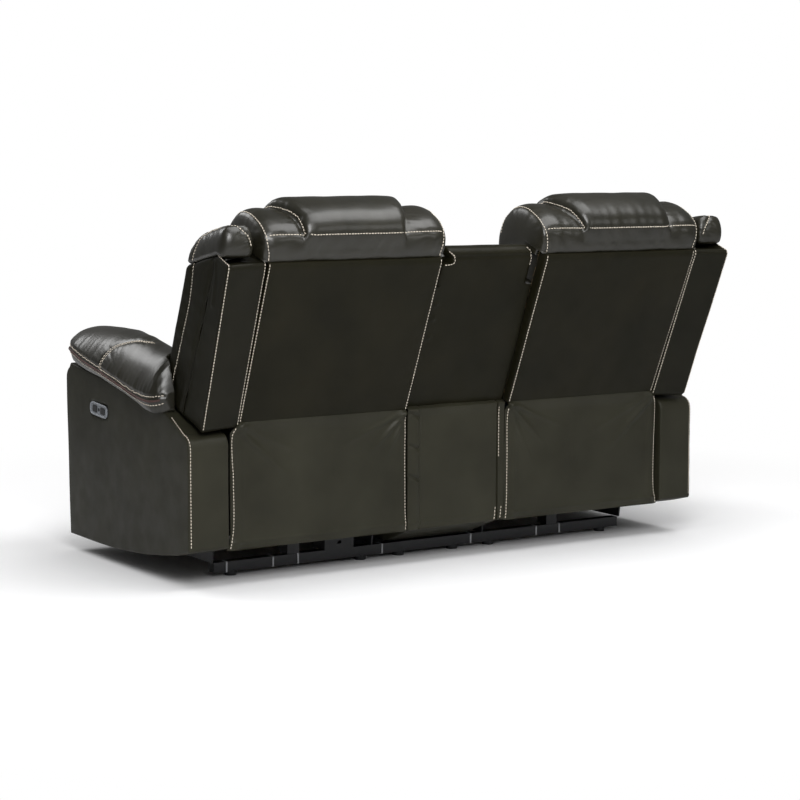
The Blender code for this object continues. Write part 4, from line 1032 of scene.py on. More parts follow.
@dataclass
class Headrest(Upholstery):
    """The roll over the back's top: a raised middle pad between two lobes."""

    inner_x: float = 0.163
    outer_x: float = 0.769
    front: float = -0.205
    rear: float = 0.024
    low: float = 0.4165
    high: float = 0.622
    ledge: float = 0.5275
    board_front: float = -0.008
    pad_rise: float = 0.038
    # How far the pad's edges are from the roll's ends, by place from front to rear
    pad_outer: tuple = ((0.0, 0.145), (0.28, 0.150), (0.37, 0.167), (0.55, 0.185), (0.74, 0.205),
                        (0.93, 0.208))
    pad_inner: tuple = ((0.0, 0.155), (0.33, 0.160), (0.55, 0.189), (0.74, 0.216), (0.93, 0.244))
    end_dome: float = 0.012
    wing_top: tuple = (0.0137, 0.517)      # the wing's top rear edge, which the ends clear
    section: tuple = (
        (0.45, 0.0), (0.20, 0.03), (0.06, 0.14), (0.0, 0.32), (0.0, 0.52), (0.06, 0.72),
        (0.20, 0.90), (0.40, 0.99), (0.60, 1.0), (0.80, 0.955), (0.93, 0.86), (0.985, 0.73),
        (1.0, 0.62), (0.995, 0.545))

    def outline(self) -> Array:
        """Draw the section with its notch for the board.

        Returns:
            Points as shares of depth and height.
        """
        ledge = (self.ledge - self.low) / (self.high - self.low)
        board = (self.board_front - self.front) / (self.rear - self.front)
        over = smooth_path(self.section, 110)
        under = resample(np.array([(0.985, ledge), (board, ledge)]), 8)
        foot = resample(np.array([(board, ledge - 0.03), (board, 0.0), (0.5, 0.0)]), 16)
        return np.vstack((over, under, foot))

    def build(self) -> None:
        """Build the roll and sew its pad, its band and its ends."""
        outline = self.outline()
        width = self.outer_x - self.inner_x
        height = self.high - self.low
        x = np.linspace(self.inner_x + self.end_dome, self.outer_x - self.end_dome, 160)[:, None]
        from_end = np.minimum(x - self.inner_x, self.outer_x - x)
        size = 1 - 0.13 * np.clip(1 - from_end / 0.055, 0, 1) ** 2.2
        pad_edge = np.where(x > (self.inner_x + self.outer_x) / 2,
                            shares(self.pad_outer, outline[:, 0]),
                            shares(self.pad_inner, outline[:, 0]))
        pad_in = from_end / width - pad_edge
        lobe = 0.16 * np.sin(ramp(from_end, pad_edge * width) * math.pi)
        rise = np.where(pad_in > 0, 1 - np.exp(-pad_in * width / 0.012), np.maximum(lobe, 0.0))
        place, up = np.moveaxis(0.5 + (outline - 0.5) * size[..., None], -1, 0)
        flat = (outline[:, 1] < 0.56) & (outline[:, 0] > 0.5)
        place[:, flat], up[:, flat] = outline[flat].T[:, None]
        out = self.front + (self.rear - self.front) * place
        clear = self.wing_top[1] + (out - self.wing_top[0]) * math.tan(LEAN) + 2 * PIECE_GAP
        up = np.where(from_end < 0.030, np.maximum(up, (clear - self.low) / height), up)
        lift = self.pad_rise * rise * ramp(up - 0.70, 0.30)
        rings = np.stack(np.broadcast_arrays(
            x, out - lift * (0.5 - place), self.low + height * up + lift), axis=-1)
        skin = Skin.loft(from_back(rings), self.end_dome)
        guides = self.seams()
        skin.sewn(Seam(guides["band"], 0.0020, 0.008, 0.0009, 0.045, 0.055, 31))
        for key, sizes in (("pad_inner", (0.008, 0.0065, 0.0009, 0.035, 0.034, 33)),
                           ("pad_outer", (0.008, 0.0065, 0.0009, 0.035, 0.034, 34)),
                           ("end_inner", (0.0022, 0.006, 0.0005, 0.03, 0.040, 36)),
                           ("end_outer", (0.0022, 0.006, 0.0005, 0.03, 0.040, 37))):
            skin.sewn(Seam(guides[key], *sizes))
        # Below the band the hide is drawn into shallow slanting folds
        across, out, up = to_back(skin.points).T
        below = ramp(0.596 - up, 0.02) * ramp(up - 0.53, 0.02)
        slant = np.sin((across + 0.5 * up) * 2 * math.pi / 0.062 + 1.5 * np.sin(across * 31.0))
        skin.pushed(0.0011 * slant * below * (out > -0.02))
        skin.crumpled(0.0024, (0.07, 0.14, 0.14), 9.3)
        beside = np.array((0.003, 0.0, 0.0))
        self.sew(skin, [guides["pad_outer"] - beside, guides["band"],
                        guides["pad_inner"] + beside, guides["end_inner"], guides["end_outer"]])
        self.dress(skin, "headrest_roll", Slot.SOFT, self.named("back"), "headrest", 0.85)

    def seams(self) -> dict[str, Array]:
        """Draw the seams in the row frame.

        Returns:
            Each seam's points by its name.
        """
        width = self.outer_x - self.inner_x
        made = {"band": from_back([(x, 0.006, 0.600) for x in np.linspace(
            self.inner_x + 0.02, self.outer_x - 0.02, 9)])}
        over = np.array(((-0.19, 0.47), (-0.205, 0.52), (-0.19, 0.575), (-0.15, 0.615),
                         (-0.10, 0.630), (-0.05, 0.632), (-0.015, 0.618), (0.006, 0.602)))
        place = (over[:, 0] - self.front) / (self.rear - self.front)
        ends = np.array(((0.014, -0.185, 0.50), (0.015, -0.187, 0.54), (0.017, -0.168, 0.580),
                         (0.017, -0.115, 0.607), (0.017, -0.053, 0.608), (0.021, -0.011, 0.587),
                         (0.024, 0.019, 0.545), (0.025, 0.022, 0.530)))
        for key, start, way, table in (("inner", self.inner_x, 1, self.pad_inner),
                                       ("outer", self.outer_x, -1, self.pad_outer)):
            pad = np.column_stack((start + way * width * shares(table, place), over))
            made[f"pad_{key}"] = smooth_path(from_back(pad), 80)
            made[f"end_{key}"] = smooth_path(from_back(ends * (way, 1, 1) + (start, 0, 0)), 80)
        return made


@dataclass
class Wing(Upholstery):
    """The upright side pad: flat behind, a boxed side panel and a rolled front."""

    inner_x: float = 0.742
    inner_edge: tuple = (0.7425, 0.025)     # the rear face's inner edge at the foot
    inner_rise: tuple = (0.0100, 0.004)     # and how far it moves by the top
    outer_x: float = 0.877
    foot_x: float = 0.863
    gusset_x: float = 0.868
    rear: float = 0.042
    front: float = -0.220
    low: float = 0.024
    high: float = 0.526
    crease: float = -0.033
    crease_fall: float = 0.625
    piping: float = -0.056
    front_seam: float = -0.155
    middle: tuple = (0.808, -0.08)
    radii: tuple = (0.006, 0.007, 0.02, 0.004, 0.03, 0.004, 0.01, 0.01, 0.02, 0.02, 0.015,
                    0.015, 0.03, 0.02)

    def build(self) -> None:
        """Build the wing, its piping and its seams."""
        levels = np.concatenate((np.linspace(0, 0.03, 5, endpoint=False),
                                 np.linspace(0.03, 0.96, 100, endpoint=False),
                                 np.linspace(0.96, 1, 6)))
        rings = []
        for level in levels:
            outer = self.foot_x + (self.outer_x - self.foot_x) * level
            reach = self.front + 0.018 * max(0.0, 1 - level / 0.25)
            corners = [
                self.edge_at(level), (outer, self.rear), (outer - 0.001, 0.0),
                (self.gusset_x + 0.001, self.piping), (self.gusset_x + 0.004, -0.10),
                (self.gusset_x, self.front_seam), (self.gusset_x + 0.004, reach + 0.036),
                (self.gusset_x - 0.006, reach + 0.016), (0.828, reach + 0.002),
                (0.790, reach), (0.760, reach + 0.010), (0.745, reach + 0.036),
                (self.inner_x, -0.12), (self.inner_x + 0.002, -0.02)]
            outline = rounded_outline(corners, self.radii, 170)
            near = max(0.0, 1 - min(level, 1 - level) / 0.03)
            ring = self.middle + (outline - self.middle) * (1 - 0.05 * near ** 2)
            top = self.high - self.fall(ring[:, 1])
            rings.append(np.column_stack((ring, self.low + (top - self.low) * level)))
        skin = Skin.loft(from_back(rings), 0.003, 12)
        guides = self.seams()
        fold = smooth_path(from_back([(0.872, -0.040, 0.500), (0.873, -0.026, 0.470),
                                      (0.872, -0.018, 0.43), (0.871, -0.014, 0.39)]), 40)
        skin.sewn(Seam(guides["piping"], 0.008, 0.007, 0.0010, 0.03, 0.09, 41),
                  Seam(guides["front"], 0.003, 0.006, 0.0012, 0.025, 0.06, 42),
                  Seam(fold, -0.0022, 0.008))
        skin.crumpled(0.0015, (0.08, 0.10, 0.25), 2.2)
        self.sew(skin, [guides["front"], guides["rear_outer"], guides["rear_inner"]])
        body = self.named("back")
        self.dress(skin, "wing_cover", Slot.REAR, body, "wing", 0.9, "wing")
        cord = tube(resample(skin.nearest(guides["piping"])[0], 120), 0.0027)
        self.dress(cord, "wing_piping", Slot.REAR, body, finish="wing")

    def fall(self, out: Array) -> Array:
        """How far the top slants down by a place ahead of its crease."""
        return self.crease_fall * np.clip(self.crease - out, 0, None)

    def edge_at(self, level: float) -> tuple[float, float]:
        """The rear face's inner edge at a level, as (across, out)."""
        return tuple(at + more * level for at, more in zip(self.inner_edge, self.inner_rise))

    def seams(self) -> dict[str, Array]:
        """Draw the seams in the row frame.

        Returns:
            Each seam's points by its name.
        """
        heights = np.linspace(self.low + 0.008, self.high - 0.006, 14)
        level = (heights - self.low) / (self.high - self.low)
        rear_x = self.foot_x + (self.outer_x - self.foot_x) * level - 0.003
        rear = np.column_stack((rear_x, np.full(14, self.rear), heights))
        over = np.array([(self.outer_x - 0.006, self.rear - 0.010, self.high),
                         (self.outer_x - 0.006, self.rear - 0.035, self.high),
                         (self.outer_x - 0.008, self.crease - 0.004, self.high)])
        edges = np.array([self.edge_at(share) for share in level]) + (0.002, 0.001)
        inner_over = over - (over[0, 0] - edges[-1, 0], self.rear - edges[-1, 1], 0.0)
        front = [(self.gusset_x + 0.002, out, up) for out, up in (
            (-0.161, 0.030), (-0.157, 0.10), (-0.151, 0.217), (-0.1466, 0.3414),
            (-0.152, 0.40), (-0.1607, 0.452))]
        side = np.column_stack((np.full(12, self.gusset_x + 0.002),
                                np.linspace(-0.074, -0.0516, 12),
                                np.linspace(self.low + 0.012, 0.497, 12)))
        return {"rear_outer": from_back(np.vstack((rear, over))),
                "rear_inner": from_back(np.vstack((np.column_stack((edges, heights)),
                                                   inner_over[:2]))),
                "front": smooth_path(from_back(front), 60),
                "piping": from_back(side)}


@dataclass
class ShoulderPillow(Upholstery):
    """The small stuffed cap on the wing: a dome over the wing's slanted top."""

    corners: tuple = ((0.779, 0.004), (0.882, 0.004), (0.876, -0.090), (0.869, -0.212),
                      (0.779, -0.212))
    radii: tuple = (0.030, 0.036, 0.050, 0.040, 0.035)
    middle: tuple = (0.824, -0.100)
    lower: float = 0.013       # from the wing's top up to the widest slice
    height: float = 0.079      # and on to the crown
    low_turn: float = -0.62
    high_turn: float = 1.53
    ridge: tuple = ((0.871, -0.164, 0.450), (0.871, -0.160, 0.500), (0.868, -0.148, 0.536),
                    (0.864, -0.122, 0.563), (0.857, -0.094, 0.583), (0.846, -0.064, 0.597),
                    (0.832, -0.040, 0.604), (0.815, -0.020, 0.602), (0.800, -0.006, 0.590),
                    (0.790, 0.001, 0.565))

    def build(self) -> None:
        """Build the cap and gather its seam."""
        wing = Wing(self.finishes, self.sewing, self.side)
        outline = rounded_outline(self.corners, self.radii, 130)
        rings = []
        for turn in (*np.linspace(self.low_turn, 0.0, 6, endpoint=False),
                     *np.linspace(0.0, self.high_turn, 38)):
            ring = self.middle + (outline - self.middle) * math.cos(turn) ** 0.62
            rise = (self.lower * math.sin(turn) / math.sin(-self.low_turn) if turn < 0
                    else self.height * math.sin(turn) ** 0.9)
            up = wing.high + 3 * PIECE_GAP - wing.fall(ring[:, 1]) + self.lower + rise
            rings.append(np.column_stack((ring, up)))
        guide = smooth_path(from_back(self.ridge), 80)
        skin = Skin.loft(from_back(rings), 0.0, 4)
        skin.sewn(Seam(guide, 0.0030, 0.006, 0.0009, 0.030, 0.024, 51))
        skin.crumpled(0.0014, (0.04, 0.05, 0.05), 4.4)
        self.sew(skin, [guide])
        self.dress(skin, "shoulder_cap", Slot.SOFT, self.named("back"), "shoulder_pillow", 0.9)


@dataclass
class OutsideBack(Upholstery):
    """The rear panel: hide over a board, with a stitched edge down each side."""

    inner_x: float = 0.183
    outer_x: float = 0.7415
    edge_x: tuple = (0.7385, 0.0095)    # the rear face's outer edge at the foot, and its spread
    swell: float = 0.0110      # the rear face stands out further towards the top
    front: float = 0.0107
    rear: float = PANEL_OUT
    low: float = 0.0379
    high: float = 0.5269
    crown: float = 0.0012
    wrap: float = -0.0083      # the hide is stapled round the frame's edge

    def build(self) -> None:
        """Build the panel and stitch its edges."""
        corners = [(self.inner_x, self.rear), (self.edge_x[0], self.rear),
                   (self.outer_x + 0.001, self.front), (self.outer_x + 0.001, self.wrap),
                   (self.inner_x - 0.0015, self.wrap), (self.inner_x - 0.0015, self.front)]
        outline = rounded_outline(corners, (0.005, 0.005, 0.004, 0.0, 0.0, 0.002), 210)
        middle = (self.inner_x + self.outer_x) / 2
        half = (self.outer_x - self.inner_x) / 2
        rise = self.crown * (1 - ((outline[:, 0] - middle) / half) ** 4)
        outline[:, 1] += np.where(outline[:, 1] > self.rear - 0.004, rise, 0.0)
        facing = ramp(outline[:, 1] - self.front, self.rear - self.front)
        rings = []
        for level in np.linspace(0, 1, 70):
            swell = self.swell * level * min(1.0, (1.04 - level) / 0.07)
            ring = outline + np.column_stack((
                self.edge_x[1] * level * facing * (outline[:, 0] > middle), swell * facing))
            up = np.full(len(outline), between((self.low, self.high), level))
            rings.append(np.column_stack((ring, up)))
        guides = [from_back([(x + wider * level, self.rear + self.swell * level,
                              self.low + 0.002 + level * (self.high - self.low - 0.004))
                             for level in np.linspace(0, 1, 8)])
                  for x, wider in ((self.inner_x + 0.004, 0.0),
                                   (self.edge_x[0] - 0.002, self.edge_x[1]))]
        skin = Skin.loft(from_back(rings), 0.0, 2)
        skin.sewn(*(Seam(guide, 0.0016, 0.004, 0.0005, 0.03, 0.06, seed)
                    for seed, guide in enumerate(guides, 61)))
        skin.crumpled(0.0010, (0.15, 0.15, 0.3), 6.1)
        self.sew(skin, guides)
        self.dress(skin, "outside_panel", Slot.REAR, self.named("back"), "outside_back", 1.0)


@dataclass
class ArmBox(Upholstery):
    """The arm's body: hide stretched over a slanted box with a rounded rear shoulder."""

    inner_x: float = 0.775
    outer_x: float = 0.900
    edge: float = 0.006
    round: float = 0.035
    middle: tuple = (-0.08, 0.30)
    switch: tuple = (-0.260, 0.453)
    pocket: tuple = (0.058, 0.021)
    pocket_depth: float = 0.006

    def outline(self) -> Array:
        """Draw the side outline.

        Returns:
            Points as (y, z).
        """
        bottom = [(-0.4835, 0.05), (-0.184, 0.05), (0.0009, 0.063), (0.1225, 0.0773),
                  (0.2198, 0.0929), (0.3025, 0.115)]
        top = [(0.169, 0.490), (0.0161, 0.5244), (-0.1839, 0.5425), (-0.468, 0.576)]
        shoulder, nose = (
            np.column_stack((y + self.round * np.cos(turn), z + self.round * np.sin(turn)))
            for y, z, turn in ((0.2675, 0.402, np.linspace(0, math.pi / 2, 8)),
                               (-0.4625, 0.5305, np.linspace(math.pi * 0.62, math.pi, 7))))
        return looped(np.vstack((bottom, shoulder, top, nose)), 360)

    def build(self) -> None:
        """Build the box and stitch its rear edge."""
        outline = self.outline()
        inward = (outline - self.middle) / np.linalg.norm(outline - self.middle, axis=1)[:, None]
        rows = [(self.inner_x, 0.003), (self.inner_x + 0.001, 0.001), (self.inner_x + 0.004, 0.0)]
        rows += [(x, 0.0) for x in np.linspace(self.inner_x + 0.012, self.outer_x - 0.012, 10)]
        rows += [(self.outer_x - self.edge * (1 - math.sin(turn)),
                  self.edge * (1 - math.cos(turn)))
                 for turn in np.linspace(0.15, 1.0, 7) * math.pi / 2]
        skin = Skin.loft(stacked([x for x, _ in rows],
                                 [outline - inward * inset for _, inset in rows]), 0.0035, 40)
        guide = smooth_path([(0.894, *spot) for spot in (
            (0.190, 0.481), (0.235, 0.456), (0.270, 0.436), (0.292, 0.427), (0.3015, 0.407),
            (0.3025, 0.36), (0.3025, 0.24), (0.3025, 0.125))], 90)
        skin.sewn(Seam(guide, 0.0018, 0.004, 0.0004, 0.02, 0.05, 71))
        skin.crumpled(0.0018, (0.3, 0.2, 0.2), 8.8)
        # The hide is cut out behind the switch plate, so its buttons have room to go in
        spot = (skin.points[:, 1:] - self.switch) / self.pocket
        inside = ramp(1.0 - np.abs(spot).max(axis=1), 0.25)
        skin.points[:, 0] -= self.pocket_depth * inside * (skin.points[:, 0] > 0.895)
        self.sew(skin, [guide])
        self.dress(skin, "arm_cover", Slot.SIDE, "base", "arm_box", 1.0)


@dataclass
class ArmPad(Upholstery):
    """The pillow top: gathered into a tuck band with a ribbed welt between two seams.

    Each station gives Y, the inner and outer X, the tuck's foot, the band's lower and upper
    lines and the crown's height.
    """

    stations: tuple = (
        (-0.476, 0.805, 0.868, 0.603, 0.615, 0.632, 0.643),
        (-0.470, 0.785, 0.884, 0.597, 0.614, 0.636, 0.658),
        (-0.460, 0.770, 0.898, 0.592, 0.613, 0.637, 0.669),
        (-0.445, 0.757, 0.910, 0.589, 0.612, 0.637, 0.678),
        (-0.425, 0.748, 0.922, 0.588, 0.611, 0.636, 0.685),
        (-0.400, 0.742, 0.932, 0.586, 0.610, 0.634, 0.689),
        (-0.370, 0.739, 0.939, 0.584, 0.608, 0.630, 0.691),
        (-0.320, 0.738, 0.942, 0.575, 0.596, 0.619, 0.693),
        (-0.290, 0.738, 0.942, 0.569, 0.587, 0.611, 0.694),
        (-0.190, 0.738, 0.942, 0.556, 0.571, 0.590, 0.694),
        (-0.070, 0.738, 0.942, 0.532, 0.546, 0.563, 0.684),
        (-0.030, 0.738, 0.942, 0.523, 0.537, 0.554, 0.674),
        (0.020, 0.738, 0.942, 0.512, 0.525, 0.544, 0.662),
        (0.060, 0.738, 0.942, 0.503, 0.517, 0.538, 0.656),
        (0.088, 0.738, 0.942, 0.495, 0.512, 0.535, 0.653),
        (0.104, 0.738, 0.942, 0.492, 0.510, 0.534, 0.650),
        (0.120, 0.738, 0.942, 0.490, 0.509, 0.534, 0.645),
        (0.138, 0.738, 0.940, 0.488, 0.508, 0.534, 0.631),
        (0.155, 0.738, 0.932, 0.489, 0.509, 0.535, 0.604),
        (0.167, 0.740, 0.920, 0.493, 0.512, 0.537, 0.575),
        (0.173, 0.745, 0.906, 0.500, 0.516, 0.538, 0.556))
    # Behind the wing's front only the part outside this wall is left
    walls: tuple = ((0.056, 0.738), (0.084, 0.8755))
    arm_top: tuple = ((-0.468, 0.576), (-0.1839, 0.5425), (0.0161, 0.5244), (0.169, 0.490),
                      (0.2675, 0.437))
    arm_edge: float = 0.9005
    tail_lean: float = 0.394      # the tail leans about as far as the back
    cross: tuple = ((0.941, -0.177, 0.586), (0.928, -0.162, 0.6224), (0.9085, -0.1386, 0.6504),
                    (0.887, -0.093, 0.6670), (0.870, -0.054, 0.673), (0.848, -0.006, 0.671))
    ribs: int = 155
    rib: tuple = (0.0030, 0.18)      # the welt's radius, and how much of it the ribs change

    def build(self) -> None:
        """Build the pad, its welt and its seams."""
        y = np.concatenate((np.linspace(-0.476, -0.42, 18, endpoint=False),
                            np.linspace(-0.42, 0.06, 100, endpoint=False),
                            np.linspace(0.06, 0.09, 12, endpoint=False),
                            np.linspace(0.09, 0.173, 26)))
        table = np.array(self.stations)
        rows = np.column_stack((y, looked_up(y, table[:, 0], table[:, 1:])))
        skin = Skin.loft([self.ring(*row) for row in rows], 0.003, 5)
        upper, lower = self.band(5), self.band(4)

        def above(points: Array) -> Array:
            """The share of gathers: only above the band."""
            line = np.interp(points[:, 1], upper[:, 1], upper[:, 2])
            return ramp(points[:, 2] - line, 0.015)

        cross = smooth_path(self.cross, 80)
        skin.sewn(Seam(upper, 0.0035, 0.006, 0.0014, 0.042, 0.034, 81, above),
                  Seam(lower, 0.0025, 0.005),
                  Seam(cross, 0.003, 0.009, 0.0010, 0.03, 0.03, 83))
        skin.crumpled(0.0030, (0.12, 0.12, 0.12), 1.7)
        beside = np.array((0.0, 0.005, 0.0))
        self.sew(skin, [upper, lower, cross - beside, cross + beside])
        self.dress(skin, "arm_pillow", Slot.SOFT, "base", "arm_pad", 0.85)
        laid = skin.nearest((upper + lower) / 2 + (MILLIMETRE, 0.0, 0.0))[0]
        laid = resample(smooth_path(laid[::6], 200), 4 * self.ribs)
        turns = np.linspace(0, 2 * math.pi * self.ribs, 4 * self.ribs)
        welt = tube(laid, self.rib[0] * (1 + self.rib[1] * np.sin(turns))).on(self.side)
        ridden(welt.piece(self.named("arm_welt"), self.finishes["welt"]), Slot.SOFT, "base")

    def ring(self, y: float, low: float, high: float, foot: float, lower: float, upper: float,
             crown: float) -> Array:
        """Draw the pad's section at a station.

        Args:
            y: The station's Y.
            low: The inner X.
            high: The outer X.
            foot: The tuck's foot.
            lower: The band's lower line.
            upper: Its upper line.
            crown: The crown's height.

        Returns:
            The section's points in the row frame.
        """
        base = shares(self.arm_top, y) + PIECE_GAP
        rest = max(base, foot) if y < -0.44 else base
        width = high - low
        edge = min(high - 0.012, 0.902 + max(0.0, 0.02 * (foot - base) / 0.03))
        edge = max(edge, low + 0.3 * width)
        rise = crown - upper
        tall = crown - rest
        slump = ramp(y + 0.20, 0.16)     # the inner side sinks to the rear
        ring = smooth_path([
            (low + 0.10 * width, rest), (low + 0.01 * width, rest + 0.012),
            (low, rest + 0.30 * tall), (low + 0.03 * width, rest + (0.58 - 0.08 * slump) * tall),
            (low + 0.12 * width, rest + (0.82 - 0.13 * slump) * tall),
            (low + 0.27 * width, rest + (0.965 - 0.10 * slump) * tall),
            (low + 0.42 * width, crown), (low + 0.56 * width, crown - 0.02 * rise),
            (low + 0.70 * width, upper + 0.87 * rise), (low + 0.82 * width, upper + 0.68 * rise),
            (low + 0.92 * width, upper + 0.40 * rise), (high - 0.003, upper + 0.12 * rise),
            (high - 0.001, upper), (high, (upper + lower) / 2), (high - 0.003, lower),
            (high - 0.012, foot + 0.002), (edge, foot - 0.001), (low + 0.55 * width, rest)],
            150, closed=True)
        ring[:, 1] = np.where(ring[:, 0] < self.arm_edge, np.maximum(ring[:, 1], rest),
                              ring[:, 1])
        ring = self.outside_of(ring, shares(self.walls, y))
        lean = ramp(y + 0.10, 0.18) * ramp(0.173 - y, 0.09)
        shift = lean * self.tail_lean * np.clip(ring[:, 1] - 0.545, 0, None)
        return np.column_stack((ring[:, 0], y + shift, ring[:, 1]))

    @staticmethod
    def outside_of(ring: Array, wall: float) -> Array:
        """Fold what lies inward of an upright wall on to that wall.

        Args:
            ring: A closed ring's points, as (x, z), in one inner run and one outer run.
            wall: The wall's X.

        Returns:
            The ring with the same number of points.
        """
        inside = ring[:, 0] < wall
        if not inside.any():
            return ring
        first = int(np.argmax(inside & ~np.roll(inside, 1)))
        turned = np.roll(ring, -first, axis=0)
        count = int(inside.sum())
        heights = np.linspace(turned[-1, 1], turned[count, 1], count + 2)[1:-1]
        turned[:count] = np.column_stack((np.full(count, wall), heights))
        return np.roll(turned, first, axis=0)

    def band(self, column: int) -> Array:
        """One of the band's lines, round the nose and along the outer side.

        Args:
            column: The line's column in the stations.

        Returns:
            Points along the line.
        """
        table = np.array(self.stations)
        nose = table[0, column] + np.array((-0.004, -0.002, 0.0))
        table = table[table[:, 0] > -0.472]
        return smooth_path(np.vstack((
            np.column_stack(((0.80, 0.84, 0.870), (-0.479, -0.480, -0.477), nose)),
            np.column_stack((table[:, 2] + 0.002, table[:, 0], table[:, column])))), 220)


@dataclass
class Tailgate(Upholstery):
    """The leather flap behind a seat: it leaves the back's bottom edge and hangs to a hem."""

    inner_x: float = 0.178
    outer_x: float = 0.7625
    face_y: float = 0.2945
    fold_y: float = 0.2995
    fold_z: float = 0.466
    low_z: float = 0.105
    neck_z: float = 0.436
    neck: tuple = (0.186, 0.738)
    flare: float = 0.012
    flare_z: float = 0.150
    sag: float = 0.0025
    sway: float = 0.0012
    ridge: tuple = ((0.0035, 0.024, 0.012), (0.0030, 0.030, 0.014))     # outer, then inner
    hem: float = 0.022
    # Pull wrinkles: from the outer edge or not, slope, width, reach and height
    folds: tuple = (
        (False, 0.95, 0.010, 0.075, 0.011), (False, 0.42, 0.008, 0.055, 0.007),
        (False, 1.9, 0.012, 0.11, 0.006), (True, 0.9, 0.013, 0.11, 0.009),
        (True, 0.45, 0.010, 0.07, 0.005))

    def build(self) -> None:
        """Build the flap with its pull wrinkles, side folds and hem."""
        level = np.linspace(0, 1, 110)[:, None]
        across = graded(150, 0.4)
        z = self.fold_z + (self.low_z - self.fold_z) * level
        neck = ramp(z - self.neck_z, self.fold_z - self.neck_z)
        flare = ramp(self.flare_z - z, self.flare_z - self.low_z) ** 1.6
        right = self.outer_x + (self.neck[1] - self.outer_x) * neck + self.flare * flare
        left = self.inner_x + (self.neck[0] - self.inner_x) * neck - 0.004 * flare
        x = between((left, right), across)
        hang = self.face_y + (self.fold_y - self.face_y) * ramp(z - 0.43, 0.03) ** 1.5
        draw = np.random.default_rng(5)
        wave = np.zeros_like(across)
        for _ in range(7):
            centre, reach = draw.uniform(0.05, 0.95), draw.uniform(0.02, 0.05)
            wave += draw.uniform(-1, 1) * bell(across - centre, reach)
        y = hang - self.sag * np.sin(math.pi * level) ** 0.8
        y = y + self.sway * wave * np.sin(math.pi * np.clip(level * 0.9 + 0.1, 0, 1))
        drop = self.fold_z - z
        for outer, slope, width, reach, height in self.folds:
            gap = right - x if outer else x - left
            fold = bell(gap * slope - drop, width) * bell(drop, reach)
            y += height * fold * ramp(drop, 0.012)
        # Beside each edge the hide rolls over a soft ridge
        for gap, (height, inset, width) in zip((right - x, x - left), self.ridge):
            y += height * bell(gap - inset, width) * ramp(drop, 0.08)
        y -= 0.006 * bell(np.minimum(x - left, right - x), 0.006, 1.2)
        crease = self.low_z + self.hem
        y += 0.0018 * bell(z - crease, 0.004)
        y -= 0.004 * ramp(crease - z, self.hem) ** 1.5
        skin = sheet_skin(x, y, z).crumpled(0.0012, (0.10, 0.10, 0.12), 4.9)
        made = skin.on(self.side).piece(self.named("flap"), self.finishes["side"])
        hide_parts(self.named("tailgate"))
        self.named("outside_panel")
        self.sew(skin, [smooth_path(edge, 90) for edge in self.edges()])
        for bent in (made, self.sewing.finish(self.finishes["thread"])):
            self.named("back")
            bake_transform(bent)
            log.info("%s bends from base to %s", bent.name, self.named("back"))

    def edges(self) -> list[Array]:
        """Draw the stitched lines beside the flap's edges.

        Returns:
            Points along the outer line and along the inner one.
        """
        y = (self.fold_y, *(self.face_y,) * 4)
        top = self.fold_z - 0.004
        outer = (self.neck[1] - 0.004, *(self.outer_x + inset for inset in (
            -0.005, -0.006, -0.006, 0.004)))
        inner = (self.neck[0] + 0.004, *(self.inner_x + inset for inset in (
            0.006, 0.005, 0.004, 0.001)))
        return [np.column_stack((x, y, (top, second, 0.30, 0.17, 0.108)))
                for x, second in ((outer, 0.434), (inner, 0.43))]


def sheet_skin(x: Array, y: Array, z: Array, thickness: float = 0.003) -> Skin:
    """Close a grid of points into a thin sheet.

    Args:
        x: The face's X by row and column.
        y: Its Y.
        z: Its Z.
        thickness: How far the other face stands towards -Y.

    Returns:
        The closed sheet.
    """
    grid = np.stack(np.broadcast_arrays(x, y, z), axis=-1)
    behind = grid - (0.0, thickness, 0.0)
    return Skin.loft(np.concatenate((grid, behind[:, ::-1]), axis=1), 0.0, 1)


# ---------------------------------------------------------------- console


